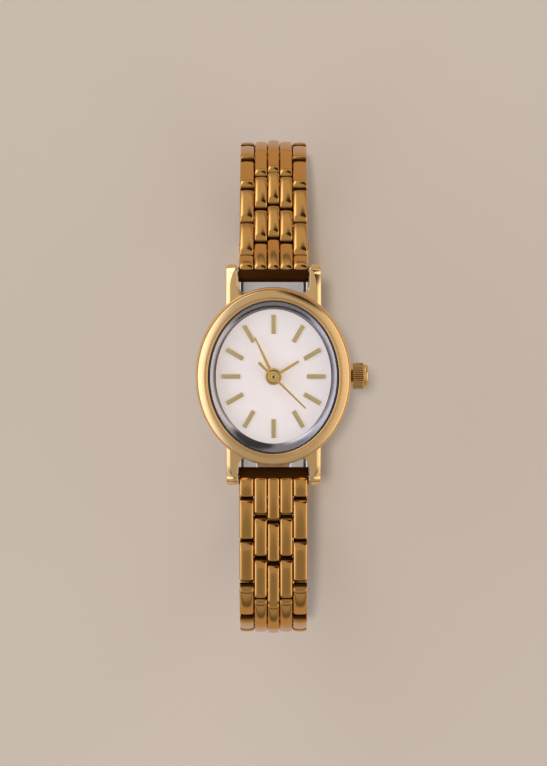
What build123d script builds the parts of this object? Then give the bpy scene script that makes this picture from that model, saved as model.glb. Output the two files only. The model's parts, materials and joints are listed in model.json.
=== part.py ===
from build123d import *
import os
from copy import copy
from math import asin, cos, degrees, hypot, pi, radians, sin

os.makedirs("parts", exist_ok=True)

# The frame: +Z out of the dial, +Y towards 12 o'clock, +X towards the crown.
# The origin is the centre of the outer face of the case back.

# Case middle, an oval barrel with four lugs
case_half_width = 10.15
case_half_length = 11.6
case_bottom = 0.6
case_height = 3.9
case_foot_inset = 1.0
case_foot_height = 1.2
case_shoulder_inset = 0.15
case_shoulder_height = 0.5
case_side_wall = 1.7
case_end_wall = 1.6
bore_half_width = case_half_width - case_side_wall
bore_half_length = case_half_length - case_end_wall
case_top = case_bottom + case_height

# Lugs and the bars that carry the bracelet
lug_width = 1.5
lug_gap = 9.4
lug_reach = 1.7
lug_bar_distance = case_half_length + lug_reach
lug_bar_height = 1.2
lug_end_radius = 1.2
lug_root_inset = 2.6
lug_root_height = 2.9
lug_bevel = 0.45
spring_bar_radius = 0.62
spring_bar_tip_radius = 0.34
spring_bar_tip_length = 0.7
spring_bar_end_play = 0.1

# Dial, markers and hands
dial_thickness = 0.4
dial_top = 3.9
dial_hole_radius = 0.75
fit_gap = 0.03
marker_length = 2.45
marker_width = 0.58
marker_height = 0.2
marker_bevel = 0.08
marker_inset = 1.97
hand_thickness = 0.12
hand_level_gap = 0.35
hour_hand_level = dial_top + hand_level_gap
minute_hand_level = hour_hand_level + hand_level_gap
second_hand_level = minute_hand_level + hand_level_gap
hour_angle = 58.5
minute_angle = -25.2
second_angle = 134.4
hour_hand_length = 3.9
hour_hand_root = 0.42
hour_hand_tip = 0.28
hour_hub_radius = 1.1
minute_hand_length = 5.8
minute_hand_root = 0.48
minute_hand_tip = 0.2
minute_hub_radius = 0.9
second_hand_length = 5.95
second_hand_root = 0.24
second_hand_tip = 0.14
second_tail_length = 2.76
second_tail_width = 0.38
second_hub_radius = 0.78

# Bezel, crystal and the sloped ring round the dial
bezel_over_crystal = 0.1
bezel_dome_heights_share = (0.0, 0.42, 0.78, 1.0)
bezel_dome_insets = (0.12, 0.14, 0.42, 0.85)
bezel_lip_depth = 0.2
bezel_lip_flare = 0.35
gasket_width = 0.25
gasket_height = 0.55
crystal_thickness = 0.75
crystal_edge = 0.12
crystal_hand_gap = 0.13
crystal_seat_height = second_hand_level + hand_thickness + crystal_hand_gap
bezel_top = crystal_seat_height + crystal_thickness + bezel_over_crystal
bezel_height = bezel_top - case_top
dial_ring_side_width = 0.95
dial_ring_end_width = 1.25
dial_opening_half_width = bore_half_width - dial_ring_side_width
dial_opening_half_length = bore_half_length - dial_ring_end_width
dial_ring_lip = 0.25

# Case back and the holder of the movement
back_flange_inset = 0.25
back_plug_height = 0.3
back_gasket_width = 0.4
back_gasket_height = 0.15
holder_wall_height = 2.55
movement_half_width = 6.1
movement_half_length = 7.6

# Movement plates
bridge_bottom = 0.95
bridge_thickness = 0.2
plate_bottom = 2.1
motion_recess_floor = 2.9
motion_recess_radius = 1.85
arbor_radius = 0.15
arbor_play = 0.04

# Wheels: level, thickness, teeth and centre distances
wheel_thickness = 0.15
second_wheel_level = 1.25
third_wheel_level = 1.55
centre_wheel_level = 1.85
cannon_pinion_level = 2.95
hour_wheel_level = 3.22
second_wheel_teeth = 36
third_wheel_teeth = 45
centre_wheel_teeth = 48
intermediate_wheel_teeth = 30
minute_wheel_teeth = 18
hour_wheel_teeth = 24
pinion_teeth = 6
third_distance = 2.3
third_bearing_angle = 200
intermediate_distance = 2.1
intermediate_bearing_angle = 20
rotor_distance = 1.8
rotor_bearing_angle = -60
motion_distance = 2.0
motion_bearing_angle = 120
tooth_share = 0.32
tooth_root_share = 0.42
cannon_radius = 0.4
cannon_bore_radius = 0.2
hour_tube_radius = 0.65
hour_tube_bore_radius = 0.45
rotor_radius = 0.5
rotor_height = 0.25

# Battery, coil, stator and circuit
battery_wall = 0.45
battery_train_reach = 2.35
battery_radius = (movement_half_length - battery_wall - battery_train_reach) / 2
battery_distance = battery_train_reach + battery_radius
battery_height = 1.65
battery_bottom = 1.1
battery_pocket_gap = 0.08
clamp_thickness = 0.12
clamp_width = 1.4
coil_radius = 0.45
coil_length = 4.4
coil_edge_distance = 2.35
coil_distance = movement_half_length - coil_edge_distance
coil_core_overhang = 0.9
coil_core_width = 0.6
stator_thickness = 0.2
stator_gap = 0.15
stator_ring_width = 0.35
stator_arm_width = 0.7
circuit_length = 3.0
circuit_width = 1.5
circuit_thickness = 0.12
chip_length = 1.1
chip_width = 0.8
chip_height = 0.25
circuit_place_share = (-0.46, -0.49)

# Crown, stem and setting lever
stem_height = 2.62
stem_radius = 0.35
stem_inner_end = 2.6
stem_groove_place = 4.6
stem_groove_width = 0.4
stem_groove_radius = 0.2
stem_gap = 0.07
crown_radius = 1.72
crown_gap = 0.2
crown_length = 2.0
crown_cap_length = 0.55
crown_cap_radius = 1.45
crown_cap_bevel = 0.2
crown_flutes = 40
crown_flute_depth = 0.1
crown_recess_radius = 1.02
crown_recess_depth = 0.85
crown_screw_depth = 1.5
tube_outer_radius = 0.8
tube_bore_radius = 0.42
tube_reach = 0.6
tube_inner_inset = 1.9
crown_gasket_length = 0.25
crown_gasket_gap = 0.03
lever_length = 2.0
lever_width = 0.8
lever_thickness = 0.2
lever_pin_radius = 0.13

# Bracelet links: five bars, the inner three reaching past the outer two
bracelet_width = 9.0
link_pitch = 5.6
end_link_pitch = 4.0
link_half_thickness = 0.9
knuckle_radius = 1.05
tip_reach = 1.75
bar_gap = 0.2
outer_bar_width = 1.87
centre_bar_width = 1.66
bar_bevel = 0.32
valley_width = 0.36
valley_depth = 0.3
web_top = 0.1
web_margin = 0.15
link_pin_radius = 0.4
running_gap = 0.03
side_gap = 0.08

# Directions of the bracelet's pieces round the ring, in degrees below level.
# The last link of the 12 side isn't here: its direction makes the clasp level.
twelve_headings = (46, 39, 38, 51, 74, 98, 124, 149)
six_headings = (1, 3, 6, 40, 70, 88, 100, 114, 129, 145)

# Fold-over clasp: a cover and two blades, one over the other when closed
cover_wall = 0.5
cover_side_gap = 0.15
cover_floor_depth = 2.05
cover_wall_top = 0.9
cover_overhang = 0.9
blade_thickness = 0.5
blade_cover_gap = 0.35
blade_half_width = bracelet_width / 2 + cover_side_gap - blade_cover_gap
blade_hinge_radius = 0.45
blade_pin_radius = 0.24
cover_hinge_back = 3.4
cover_hinge_depth = 1.5
blade_hinge_place = 3.1
blade_hinge_depth = 1.1
inner_blade_depth = 0.7
knuckle_arm_width = 2.0
blade_rail_width = 1.9
middle_knuckle_inner = blade_half_width - knuckle_arm_width
blade_window_half_width = blade_half_width - blade_rail_width
blade_window_margin = 4.0
fork_side_gap = 0.2
fork_gap = 0.12
tongue_back = 2.2
blade_side_gap = 0.1

cut_over = 1.0

# Rounds and ovals are drawn with sides, few on what is small or hidden
pin_sides = 8
knuckle_sides = 12
round_sides = 16
large_sides = 24
hidden_oval_sides = 32
oval_sides = 48


def ring_path(start_distance, start_height, headings):
    """Hinge places of half the bracelet, as distance from the middle and height."""
    distance, height = start_distance, start_height
    places = [(distance, height)]
    for number, heading in enumerate(headings):
        pitch = end_link_pitch if number == 0 else link_pitch
        distance += pitch * cos(radians(heading))
        height -= pitch * sin(radians(heading))
        places.append((distance, height))
    return places


def ring_plane(side, place, heading):
    """Plane at a hinge: its Y runs along the bracelet, its Z out of the ring."""
    outward = (0, side * sin(radians(heading)), cos(radians(heading)))
    return Plane(origin=(0, side * place[0], place[1]), x_dir=(side, 0, 0), z_dir=outward)


def oval(half_width, half_length, sides=oval_sides, mode=Mode.ADD):
    """Many-sided outline of an oval."""
    turns = [2 * pi * step / sides for step in range(sides)]
    points = [(half_width * cos(turn), half_length * sin(turn)) for turn in turns]
    return Polygon(*points, align=None, mode=mode)


def hidden_oval(half_width, half_length, mode=Mode.ADD):
    """Outline of an oval that other pieces cover."""
    return oval(half_width, half_length, hidden_oval_sides, mode)


def oval_stack(levels):
    """Ruled body through ovals, each given as height, half width and half length."""
    with BuildPart() as stack:
        for height, half_width, half_length in levels:
            with BuildSketch(Plane.XY.offset(height)):
                oval(half_width, half_length)
        loft(ruled=True)
    return stack.part


def oval_plate(bottom, height, half_width, half_length):
    """Upright oval plate."""
    with BuildPart() as plate:
        with BuildSketch(Plane.XY.offset(bottom)):
            oval(half_width, half_length)
        extrude(amount=height)
    return plate.part


def shaft(radius, sides=pin_sides, mode=Mode.ADD):
    """Many-sided outline of a shaft: its corners lie on the circle."""
    return RegularPolygon(radius, sides, mode=mode)


def hole(radius, sides=pin_sides, mode=Mode.ADD):
    """Many-sided outline of a hole: its flats lie on the circle, so a shaft turns in it."""
    return RegularPolygon(radius, sides, major_radius=False, mode=mode)


def bearing(distance, angle, origin=(0, 0)):
    """Place at a distance and angle from another place in the movement."""
    return (
        origin[0] + distance * cos(radians(angle)),
        origin[1] + distance * sin(radians(angle)),
    )


def pitch_radius(distance, teeth, mate_teeth):
    """Pitch radius of a wheel that meshes at this centre distance."""
    return distance * teeth / (teeth + mate_teeth)


def tooth_points(centre, radius, teeth, mate_distance, mate_teeth, tooth_towards):
    """Zigzag outline of a toothed wheel with one tooth at the given angle."""
    module = 2 * mate_distance / (teeth + mate_teeth)
    tip = radius + tooth_share * module
    root = radius - tooth_root_share * module
    points = []
    for step in range(2 * teeth):
        reach = tip if step % 2 == 0 else root
        angle = tooth_towards + step * 180 / teeth
        points.append(bearing(reach, angle, centre))
    return points


def across(outline, radius, length, middle=(0, 0, 0)):
    """Bar or bore across the bracelet, centred at the given place."""
    with BuildPart() as bar:
        with BuildSketch(Plane(origin=(middle[0] - length / 2, middle[1], middle[2]),
                               x_dir=(0, 1, 0), z_dir=(1, 0, 0))):
            outline(radius)
        extrude(amount=length)
    return bar.part


# Lug, drawn from the side as a taper from the case to its round end
lug_inner = lug_gap / 2
lug_root = case_half_length - lug_root_inset
with BuildPart() as lug:
    with BuildSketch(Plane.YZ.offset(lug_inner)):
        with Locations((lug_bar_distance, lug_bar_height)):
            shaft(lug_end_radius, round_sides)
        with Locations((lug_root, case_bottom + lug_root_height / 2 + lug_bevel)):
            Rectangle(lug_end_radius, lug_root_height)
        make_hull()
    extrude(amount=lug_width)
    sloped = lug.edges().filter_by(GeomType.LINE).group_by(Axis.X)[-1].sort_by(Axis.Z)
    chamfer(sloped[-1], lug_bevel)
    with BuildSketch(Plane.YZ.offset(lug_inner)):
        with Locations((lug_bar_distance, lug_bar_height)):
            hole(spring_bar_tip_radius)
    extrude(amount=spring_bar_tip_length, mode=Mode.SUBTRACT)

# Case middle: the oval barrel, its bore, the lugs and the hole for the crown tube
case_body = oval_stack([
    (case_bottom, case_half_width - case_foot_inset, case_half_length - case_foot_inset),
    (case_bottom + case_foot_height, case_half_width, case_half_length),
    (case_top - case_shoulder_height, case_half_width, case_half_length),
    (case_top, case_half_width - case_shoulder_inset, case_half_length - case_shoulder_inset),
])
tube_inner_end = case_half_width - tube_inner_inset
with BuildPart() as case_middle:
    add(case_body)
    add(lug.part)
    mirror(lug.part, about=Plane.YZ)
    mirror(lug.part, about=Plane.XZ)
    mirror(mirror(lug.part, about=Plane.YZ, mode=Mode.PRIVATE), about=Plane.XZ)
    with BuildSketch(Plane.XY):
        oval(bore_half_width, bore_half_length)
    extrude(amount=case_top + cut_over, mode=Mode.SUBTRACT)
    with BuildSketch(Plane.YZ.offset(tube_inner_end)):
        with Locations((0, stem_height)):
            hole(tube_outer_radius, round_sides)
    extrude(amount=case_half_width - tube_inner_end + cut_over, mode=Mode.SUBTRACT)
case_middle.part.label = "case_middle"
export_step(case_middle.part, "parts/case_middle.step")

# Crown tube, pressed into the case wall and standing out into the crown
tube_outer_end = case_half_width + tube_reach
tube_inside = bore_half_width
with BuildPart() as crown_tube:
    with BuildSketch(Plane.YZ.offset(tube_inside)):
        with Locations((0, stem_height)):
            shaft(tube_outer_radius, round_sides)
            hole(tube_bore_radius, mode=Mode.SUBTRACT)
    extrude(amount=tube_outer_end - tube_inside)
crown_tube.part.label = "crown_tube"
export_step(crown_tube.part, "parts/crown_tube.step")

# Case back: a flange under the case and a plug that fits its bore
flange_half_width = case_half_width - case_foot_inset - back_flange_inset
flange_half_length = case_half_length - case_foot_inset - back_flange_inset
plug_half_width = bore_half_width - fit_gap
plug_half_length = bore_half_length - fit_gap
flange_height = case_bottom - back_gasket_height
with BuildPart() as case_back:
    with BuildSketch(Plane.XY):
        oval(flange_half_width, flange_half_length)
    extrude(amount=flange_height)
    with BuildSketch(Plane.XY.offset(flange_height)):
        hidden_oval(plug_half_width, plug_half_length)
    extrude(amount=back_plug_height + back_gasket_height)
case_back.part.label = "case_back"
export_step(case_back.part, "parts/case_back.step")

with BuildPart() as back_gasket:
    with BuildSketch(Plane.XY.offset(flange_height)):
        hidden_oval(plug_half_width + back_gasket_width, plug_half_length + back_gasket_width)
        hidden_oval(plug_half_width, plug_half_length, mode=Mode.SUBTRACT)
    extrude(amount=back_gasket_height)
back_gasket.part.label = "back_gasket"
export_step(back_gasket.part, "parts/back_gasket.step")

# Bezel: a domed oval ring, its inner lip flared at the top
bezel_dome = oval_stack([
    (case_top + share * bezel_height, case_half_width - inset, case_half_length - inset)
    for share, inset in zip(bezel_dome_heights_share, bezel_dome_insets)
])
bezel_flare = oval_stack([
    (bezel_top - bezel_lip_depth, bore_half_width, bore_half_length),
    (bezel_top, bore_half_width + bezel_lip_flare, bore_half_length + bezel_lip_flare),
])
bezel_bore = oval_plate(case_top - cut_over, bezel_height + 2 * cut_over,
                        bore_half_width, bore_half_length)
with BuildPart() as bezel:
    add(bezel_dome)
    add(bezel_bore, mode=Mode.SUBTRACT)
    add(bezel_flare, mode=Mode.SUBTRACT)
bezel.part.label = "bezel"
export_step(bezel.part, "parts/bezel.step")

# Crystal and the gasket that holds it in the bezel
crystal_half_width = bore_half_width - gasket_width
crystal_half_length = bore_half_length - gasket_width
crystal_body = oval_stack([
    (crystal_seat_height, crystal_half_width, crystal_half_length),
    (crystal_seat_height + crystal_thickness - crystal_edge, crystal_half_width,
     crystal_half_length),
    (crystal_seat_height + crystal_thickness, crystal_half_width - crystal_edge,
     crystal_half_length - crystal_edge),
])
with BuildPart() as crystal:
    add(crystal_body)
crystal.part.label = "crystal"
export_step(crystal.part, "parts/crystal.step")

with BuildPart() as crystal_gasket:
    with BuildSketch(Plane.XY.offset(crystal_seat_height)):
        oval(bore_half_width, bore_half_length)
        oval(crystal_half_width, crystal_half_length, mode=Mode.SUBTRACT)
    extrude(amount=gasket_height)
crystal_gasket.part.label = "crystal_gasket"
export_step(crystal_gasket.part, "parts/crystal_gasket.step")

# Sloped ring between the crystal and the dial
ring_blank = oval_plate(dial_top, crystal_seat_height - dial_top, plug_half_width,
                        plug_half_length)
ring_slope = oval_stack([
    (dial_top, dial_opening_half_width, dial_opening_half_length),
    (crystal_seat_height, plug_half_width - dial_ring_lip, plug_half_length - dial_ring_lip),
])
with BuildPart() as dial_ring:
    add(ring_blank)
    add(ring_slope, mode=Mode.SUBTRACT)
dial_ring.part.label = "dial_ring"
export_step(dial_ring.part, "parts/dial_ring.step")

# Dial plate
dial_bottom = dial_top - dial_thickness
with BuildPart() as dial:
    with BuildSketch(Plane.XY.offset(dial_bottom)):
        hidden_oval(plug_half_width, plug_half_length)
        hole(dial_hole_radius, round_sides, mode=Mode.SUBTRACT)
    extrude(amount=dial_thickness)
dial.part.label = "dial"
export_step(dial.part, "parts/dial.step")


def oval_ray(angle, half_width, half_length):
    """Distance from the centre to an oval, clockwise from 12 o'clock."""
    return 1 / hypot(sin(radians(angle)) / half_width, cos(radians(angle)) / half_length)


# Twelve applied hour markers, all the same distance inside the oval of the ring
with BuildPart() as hour_markers:
    for hour in range(12):
        angle = 30 * hour
        radius = oval_ray(angle, dial_opening_half_width, dial_opening_half_length)
        radius -= marker_inset
        marker_plane = Plane(
            origin=(radius * sin(radians(angle)), radius * cos(radians(angle)), dial_top),
            x_dir=(cos(radians(angle)), -sin(radians(angle)), 0), z_dir=(0, 0, 1))
        with BuildSketch(marker_plane):
            Rectangle(marker_width, marker_length)
        extrude(amount=marker_height)
    chamfer(hour_markers.edges().group_by(Axis.Z)[-1], marker_bevel)
hour_markers.part.label = "hour_markers"
export_step(hour_markers.part, "parts/hour_markers.step")


def hand_plane(angle, height):
    """Plane whose Y runs along a hand that stands at this angle from 12 o'clock."""
    turn = radians(angle)
    return Plane(origin=(0, 0, height), x_dir=(cos(turn), -sin(turn), 0), z_dir=(0, 0, 1))


def hand_outline(root_width, tip_width, length, tail_width=0, tail_length=0):
    """Outline of a tapered hand, with its tail behind the hub."""
    points = [(-root_width / 2, 0), (-tip_width / 2, length), (tip_width / 2, length),
              (root_width / 2, 0)]
    if tail_length > 0:
        points += [(tail_width / 2, -tail_length), (-tail_width / 2, -tail_length)]
    return points


with BuildPart() as hour_hand:
    with BuildSketch(hand_plane(hour_angle, hour_hand_level)):
        Polygon(*hand_outline(hour_hand_root, hour_hand_tip, hour_hand_length), align=None)
        shaft(hour_hub_radius, round_sides)
        hole(hour_tube_radius, mode=Mode.SUBTRACT)
    extrude(amount=hand_thickness)
hour_hand.part.label = "hour_hand"
export_step(hour_hand.part, "parts/hour_hand.step")

with BuildPart() as minute_hand:
    with BuildSketch(hand_plane(minute_angle, minute_hand_level)):
        Polygon(*hand_outline(minute_hand_root, minute_hand_tip, minute_hand_length),
                align=None)
        shaft(minute_hub_radius, round_sides)
        hole(cannon_radius, mode=Mode.SUBTRACT)
    extrude(amount=hand_thickness)
minute_hand.part.label = "minute_hand"
export_step(minute_hand.part, "parts/minute_hand.step")

with BuildPart() as second_hand:
    with BuildSketch(hand_plane(second_angle, second_hand_level)):
        Polygon(*hand_outline(second_hand_root, second_hand_tip, second_hand_length,
                              second_tail_width, second_tail_length), align=None)
        shaft(second_hub_radius, round_sides)
        hole(arbor_radius, mode=Mode.SUBTRACT)
    extrude(amount=hand_thickness)
second_hand.part.label = "second_hand"
export_step(second_hand.part, "parts/second_hand.step")

# Places of the wheels in the movement
centre_place = (0, 0)
third_place = bearing(third_distance, third_bearing_angle)
intermediate_place = bearing(intermediate_distance, intermediate_bearing_angle)
rotor_place = bearing(rotor_distance, rotor_bearing_angle, intermediate_place)
motion_place = bearing(motion_distance, motion_bearing_angle)
battery_place = (0, battery_distance)

# Movement holder: a plastic oval ring between the movement and the case
holder_bottom = case_bottom + back_plug_height
with BuildPart() as movement_holder:
    with BuildSketch(Plane.XY.offset(holder_bottom)):
        hidden_oval(plug_half_width, plug_half_length)
        hidden_oval(movement_half_width + fit_gap, movement_half_length + fit_gap,
                    mode=Mode.SUBTRACT)
    extrude(amount=holder_wall_height)
    with BuildSketch(Plane.YZ.offset(movement_half_width - cut_over)):
        with Locations((0, holder_bottom + (stem_height - holder_bottom) / 2)):
            Rectangle(2 * tube_outer_radius + 2 * stem_gap, stem_height - holder_bottom)
        with Locations((0, stem_height)):
            hole(tube_outer_radius + stem_gap)
    extrude(amount=bore_half_width, mode=Mode.SUBTRACT)
movement_holder.part.label = "movement_holder"
export_step(movement_holder.part, "parts/movement_holder.step")

# Main plate: pocket for the battery, slot for the stem, recess for the motion work
plate_top = holder_bottom + holder_wall_height
battery_top = battery_bottom + battery_height
stem_slot_top = stem_height + stem_radius + stem_gap
with BuildPart() as main_plate:
    with BuildSketch(Plane.XY.offset(plate_bottom)):
        hidden_oval(movement_half_width, movement_half_length)
    extrude(amount=plate_top - plate_bottom)
    with BuildSketch(Plane.XY.offset(motion_recess_floor)):
        with Locations(centre_place, motion_place):
            hole(motion_recess_radius, round_sides)
    extrude(amount=plate_top - motion_recess_floor, mode=Mode.SUBTRACT)
    with BuildSketch(Plane.XY.offset(plate_bottom)):
        with Locations(battery_place):
            hole(battery_radius + battery_pocket_gap, large_sides)
    extrude(amount=battery_top + battery_pocket_gap - plate_bottom, mode=Mode.SUBTRACT)
    with BuildSketch(Plane.XY.offset(plate_bottom)):
        with Locations(centre_place):
            hole(cannon_radius + arbor_play)
        with Locations(third_place, intermediate_place, rotor_place):
            hole(arbor_radius + arbor_play)
    extrude(amount=motion_recess_floor - plate_bottom, mode=Mode.SUBTRACT)
    with BuildSketch(Plane.XY.offset(plate_bottom)):
        with Locations(((stem_inner_end - stem_gap + movement_half_width + cut_over) / 2, 0)):
            Rectangle(movement_half_width + cut_over - stem_inner_end + stem_gap,
                      2 * (stem_radius + stem_gap))
    extrude(amount=stem_slot_top - plate_bottom, mode=Mode.SUBTRACT)
    with BuildSketch(Plane.XY.offset(motion_recess_floor)):
        with Locations(motion_place):
            shaft(arbor_radius)
    extrude(amount=plate_top - motion_recess_floor)
main_plate.part.label = "main_plate"
export_step(main_plate.part, "parts/main_plate.step")

# Train bridge: carries the lower pivots, on three posts under the main plate
bridge_top = bridge_bottom + bridge_thickness
post_radius = 2 * arbor_radius
post_distance = third_distance + 2 * post_radius
post_places = (bearing(post_distance, third_bearing_angle + 60),
               bearing(post_distance, third_bearing_angle - 75),
               bearing(post_distance - post_radius, intermediate_bearing_angle + 10,
                       intermediate_place))
with BuildPart() as train_bridge:
    with BuildSketch(Plane.XY.offset(bridge_bottom)):
        with Locations(third_place, rotor_place, *post_places):
            shaft(2 * post_radius)
        make_hull()
        with Locations(battery_place):
            hole(battery_radius + 2 * battery_pocket_gap, large_sides, mode=Mode.SUBTRACT)
        with Locations(centre_place, third_place, intermediate_place, rotor_place):
            hole(arbor_radius + arbor_play, mode=Mode.SUBTRACT)
    extrude(amount=bridge_thickness)
    with BuildSketch(Plane.XY.offset(bridge_top)):
        with Locations(*post_places):
            shaft(post_radius)
    extrude(amount=plate_bottom - bridge_top)
train_bridge.part.label = "train_bridge"
export_step(train_bridge.part, "parts/train_bridge.step")

# Second wheel: arbor up through the centre, wheel driven by the intermediate pinion
second_wheel_radius = pitch_radius(intermediate_distance, second_wheel_teeth, pinion_teeth)
second_pinion_radius = pitch_radius(third_distance, pinion_teeth, third_wheel_teeth)
half_tooth_of_pinion = 180 / pinion_teeth
with BuildPart() as second_wheel:
    with BuildSketch(Plane.XY.offset(second_wheel_level)):
        Polygon(*tooth_points(centre_place, second_wheel_radius, second_wheel_teeth,
                              intermediate_distance, pinion_teeth,
                              intermediate_bearing_angle), align=None)
    extrude(amount=wheel_thickness)
    with BuildSketch(Plane.XY.offset(second_wheel_level)):
        Polygon(*tooth_points(centre_place, second_pinion_radius, pinion_teeth, third_distance,
                              third_wheel_teeth, third_bearing_angle), align=None)
    extrude(amount=third_wheel_level + wheel_thickness - second_wheel_level)
    with BuildSketch(Plane.XY.offset(bridge_bottom)):
        shaft(arbor_radius)
    extrude(amount=second_hand_level + hand_thickness - bridge_bottom)
second_wheel.part.label = "second_wheel"
export_step(second_wheel.part, "parts/second_wheel.step")

# Third wheel: between the second pinion and the centre wheel
third_wheel_radius = pitch_radius(third_distance, third_wheel_teeth, pinion_teeth)
third_pinion_radius = pitch_radius(third_distance, pinion_teeth, centre_wheel_teeth)
half_tooth_of_third = 180 / third_wheel_teeth
with BuildPart() as third_wheel:
    with BuildSketch(Plane.XY.offset(third_wheel_level)):
        Polygon(*tooth_points(third_place, third_wheel_radius, third_wheel_teeth,
                              third_distance, pinion_teeth,
                              third_bearing_angle + 180 + half_tooth_of_third), align=None)
    extrude(amount=wheel_thickness)
    with BuildSketch(Plane.XY.offset(third_wheel_level)):
        Polygon(*tooth_points(third_place, third_pinion_radius, pinion_teeth, third_distance,
                              centre_wheel_teeth, third_bearing_angle + 180), align=None)
    extrude(amount=centre_wheel_level + wheel_thickness - third_wheel_level)
    with BuildSketch(Plane.XY.offset(bridge_bottom)):
        with Locations(third_place):
            shaft(arbor_radius)
    extrude(amount=motion_recess_floor - bridge_bottom)
third_wheel.part.label = "third_wheel"
export_step(third_wheel.part, "parts/third_wheel.step")

# Centre wheel: its tube is the cannon that carries the minute hand
centre_wheel_radius = pitch_radius(third_distance, centre_wheel_teeth, pinion_teeth)
cannon_pinion_radius = pitch_radius(motion_distance, pinion_teeth, minute_wheel_teeth)
half_tooth_of_centre = 180 / centre_wheel_teeth
with BuildPart() as centre_wheel:
    with BuildSketch(Plane.XY.offset(centre_wheel_level)):
        Polygon(*tooth_points(centre_place, centre_wheel_radius, centre_wheel_teeth,
                              third_distance, pinion_teeth,
                              third_bearing_angle + half_tooth_of_centre), align=None)
    extrude(amount=wheel_thickness)
    with BuildSketch(Plane.XY.offset(cannon_pinion_level)):
        Polygon(*tooth_points(centre_place, cannon_pinion_radius, pinion_teeth,
                              motion_distance, minute_wheel_teeth, motion_bearing_angle),
                align=None)
    extrude(amount=wheel_thickness)
    with BuildSketch(Plane.XY.offset(centre_wheel_level)):
        shaft(cannon_radius)
    extrude(amount=minute_hand_level + hand_thickness - centre_wheel_level)
    with BuildSketch(Plane.XY.offset(centre_wheel_level)):
        hole(cannon_bore_radius)
    extrude(amount=minute_hand_level + hand_thickness - centre_wheel_level, mode=Mode.SUBTRACT)
centre_wheel.part.label = "centre_wheel"
export_step(centre_wheel.part, "parts/centre_wheel.step")

# Minute wheel: steps the cannon pinion down to the hour wheel, on a post of the plate
minute_wheel_radius = pitch_radius(motion_distance, minute_wheel_teeth, pinion_teeth)
minute_pinion_radius = pitch_radius(motion_distance, pinion_teeth, hour_wheel_teeth)
half_tooth_of_minute = 180 / minute_wheel_teeth
with BuildPart() as minute_wheel:
    with BuildSketch(Plane.XY.offset(cannon_pinion_level)):
        Polygon(*tooth_points(motion_place, minute_wheel_radius, minute_wheel_teeth,
                              motion_distance, pinion_teeth,
                              motion_bearing_angle + 180 + half_tooth_of_minute), align=None)
    extrude(amount=wheel_thickness)
    with BuildSketch(Plane.XY.offset(cannon_pinion_level)):
        Polygon(*tooth_points(motion_place, minute_pinion_radius, pinion_teeth,
                              motion_distance, hour_wheel_teeth,
                              motion_bearing_angle + 180), align=None)
    extrude(amount=hour_wheel_level + wheel_thickness - cannon_pinion_level)
    with BuildSketch(Plane.XY.offset(cannon_pinion_level)):
        with Locations(motion_place):
            hole(arbor_radius + arbor_play)
    extrude(amount=hour_wheel_level + wheel_thickness - cannon_pinion_level,
            mode=Mode.SUBTRACT)
minute_wheel.part.label = "minute_wheel"
export_step(minute_wheel.part, "parts/minute_wheel.step")

# Hour wheel: its tube turns on the cannon and carries the hour hand
hour_wheel_radius = pitch_radius(motion_distance, hour_wheel_teeth, pinion_teeth)
half_tooth_of_hour = 180 / hour_wheel_teeth
with BuildPart() as hour_wheel:
    with BuildSketch(Plane.XY.offset(hour_wheel_level)):
        Polygon(*tooth_points(centre_place, hour_wheel_radius, hour_wheel_teeth,
                              motion_distance, pinion_teeth,
                              motion_bearing_angle + half_tooth_of_hour), align=None)
    extrude(amount=wheel_thickness)
    with BuildSketch(Plane.XY.offset(hour_wheel_level)):
        shaft(hour_tube_radius)
    extrude(amount=hour_hand_level + hand_thickness - hour_wheel_level)
    with BuildSketch(Plane.XY.offset(hour_wheel_level)):
        hole(hour_tube_bore_radius)
    extrude(amount=hour_hand_level + hand_thickness - hour_wheel_level, mode=Mode.SUBTRACT)
hour_wheel.part.label = "hour_wheel"
export_step(hour_wheel.part, "parts/hour_wheel.step")

# Intermediate wheel: from the rotor's pinion to the second wheel
intermediate_wheel_radius = pitch_radius(rotor_distance, intermediate_wheel_teeth, pinion_teeth)
intermediate_pinion_radius = pitch_radius(intermediate_distance, pinion_teeth,
                                          second_wheel_teeth)
with BuildPart() as intermediate_wheel:
    with BuildSketch(Plane.XY.offset(third_wheel_level)):
        Polygon(*tooth_points(intermediate_place, intermediate_wheel_radius,
                              intermediate_wheel_teeth, rotor_distance, pinion_teeth,
                              rotor_bearing_angle), align=None)
    extrude(amount=wheel_thickness)
    with BuildSketch(Plane.XY.offset(second_wheel_level)):
        Polygon(*tooth_points(intermediate_place, intermediate_pinion_radius, pinion_teeth,
                              intermediate_distance, second_wheel_teeth,
                              intermediate_bearing_angle + 180 + half_tooth_of_pinion),
                align=None)
    extrude(amount=third_wheel_level - second_wheel_level)
    with BuildSketch(Plane.XY.offset(bridge_bottom)):
        with Locations(intermediate_place):
            shaft(arbor_radius)
    extrude(amount=motion_recess_floor - bridge_bottom)
intermediate_wheel.part.label = "intermediate_wheel"
export_step(intermediate_wheel.part, "parts/intermediate_wheel.step")

# Rotor: the magnet of the stepping motor with its pinion
rotor_pinion_radius = pitch_radius(rotor_distance, pinion_teeth, intermediate_wheel_teeth)
with BuildPart() as rotor:
    with BuildSketch(Plane.XY.offset(second_wheel_level)):
        with Locations(rotor_place):
            shaft(rotor_radius)
    extrude(amount=rotor_height)
    with BuildSketch(Plane.XY.offset(second_wheel_level + rotor_height)):
        Polygon(*tooth_points(rotor_place, rotor_pinion_radius, pinion_teeth, rotor_distance,
                              intermediate_wheel_teeth,
                              rotor_bearing_angle + 180 + half_tooth_of_pinion), align=None)
    extrude(amount=third_wheel_level + wheel_thickness - second_wheel_level - rotor_height)
    with BuildSketch(Plane.XY.offset(bridge_bottom)):
        with Locations(rotor_place):
            shaft(arbor_radius)
    extrude(amount=motion_recess_floor - bridge_bottom)
rotor.part.label = "rotor"
export_step(rotor.part, "parts/rotor.step")

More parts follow.
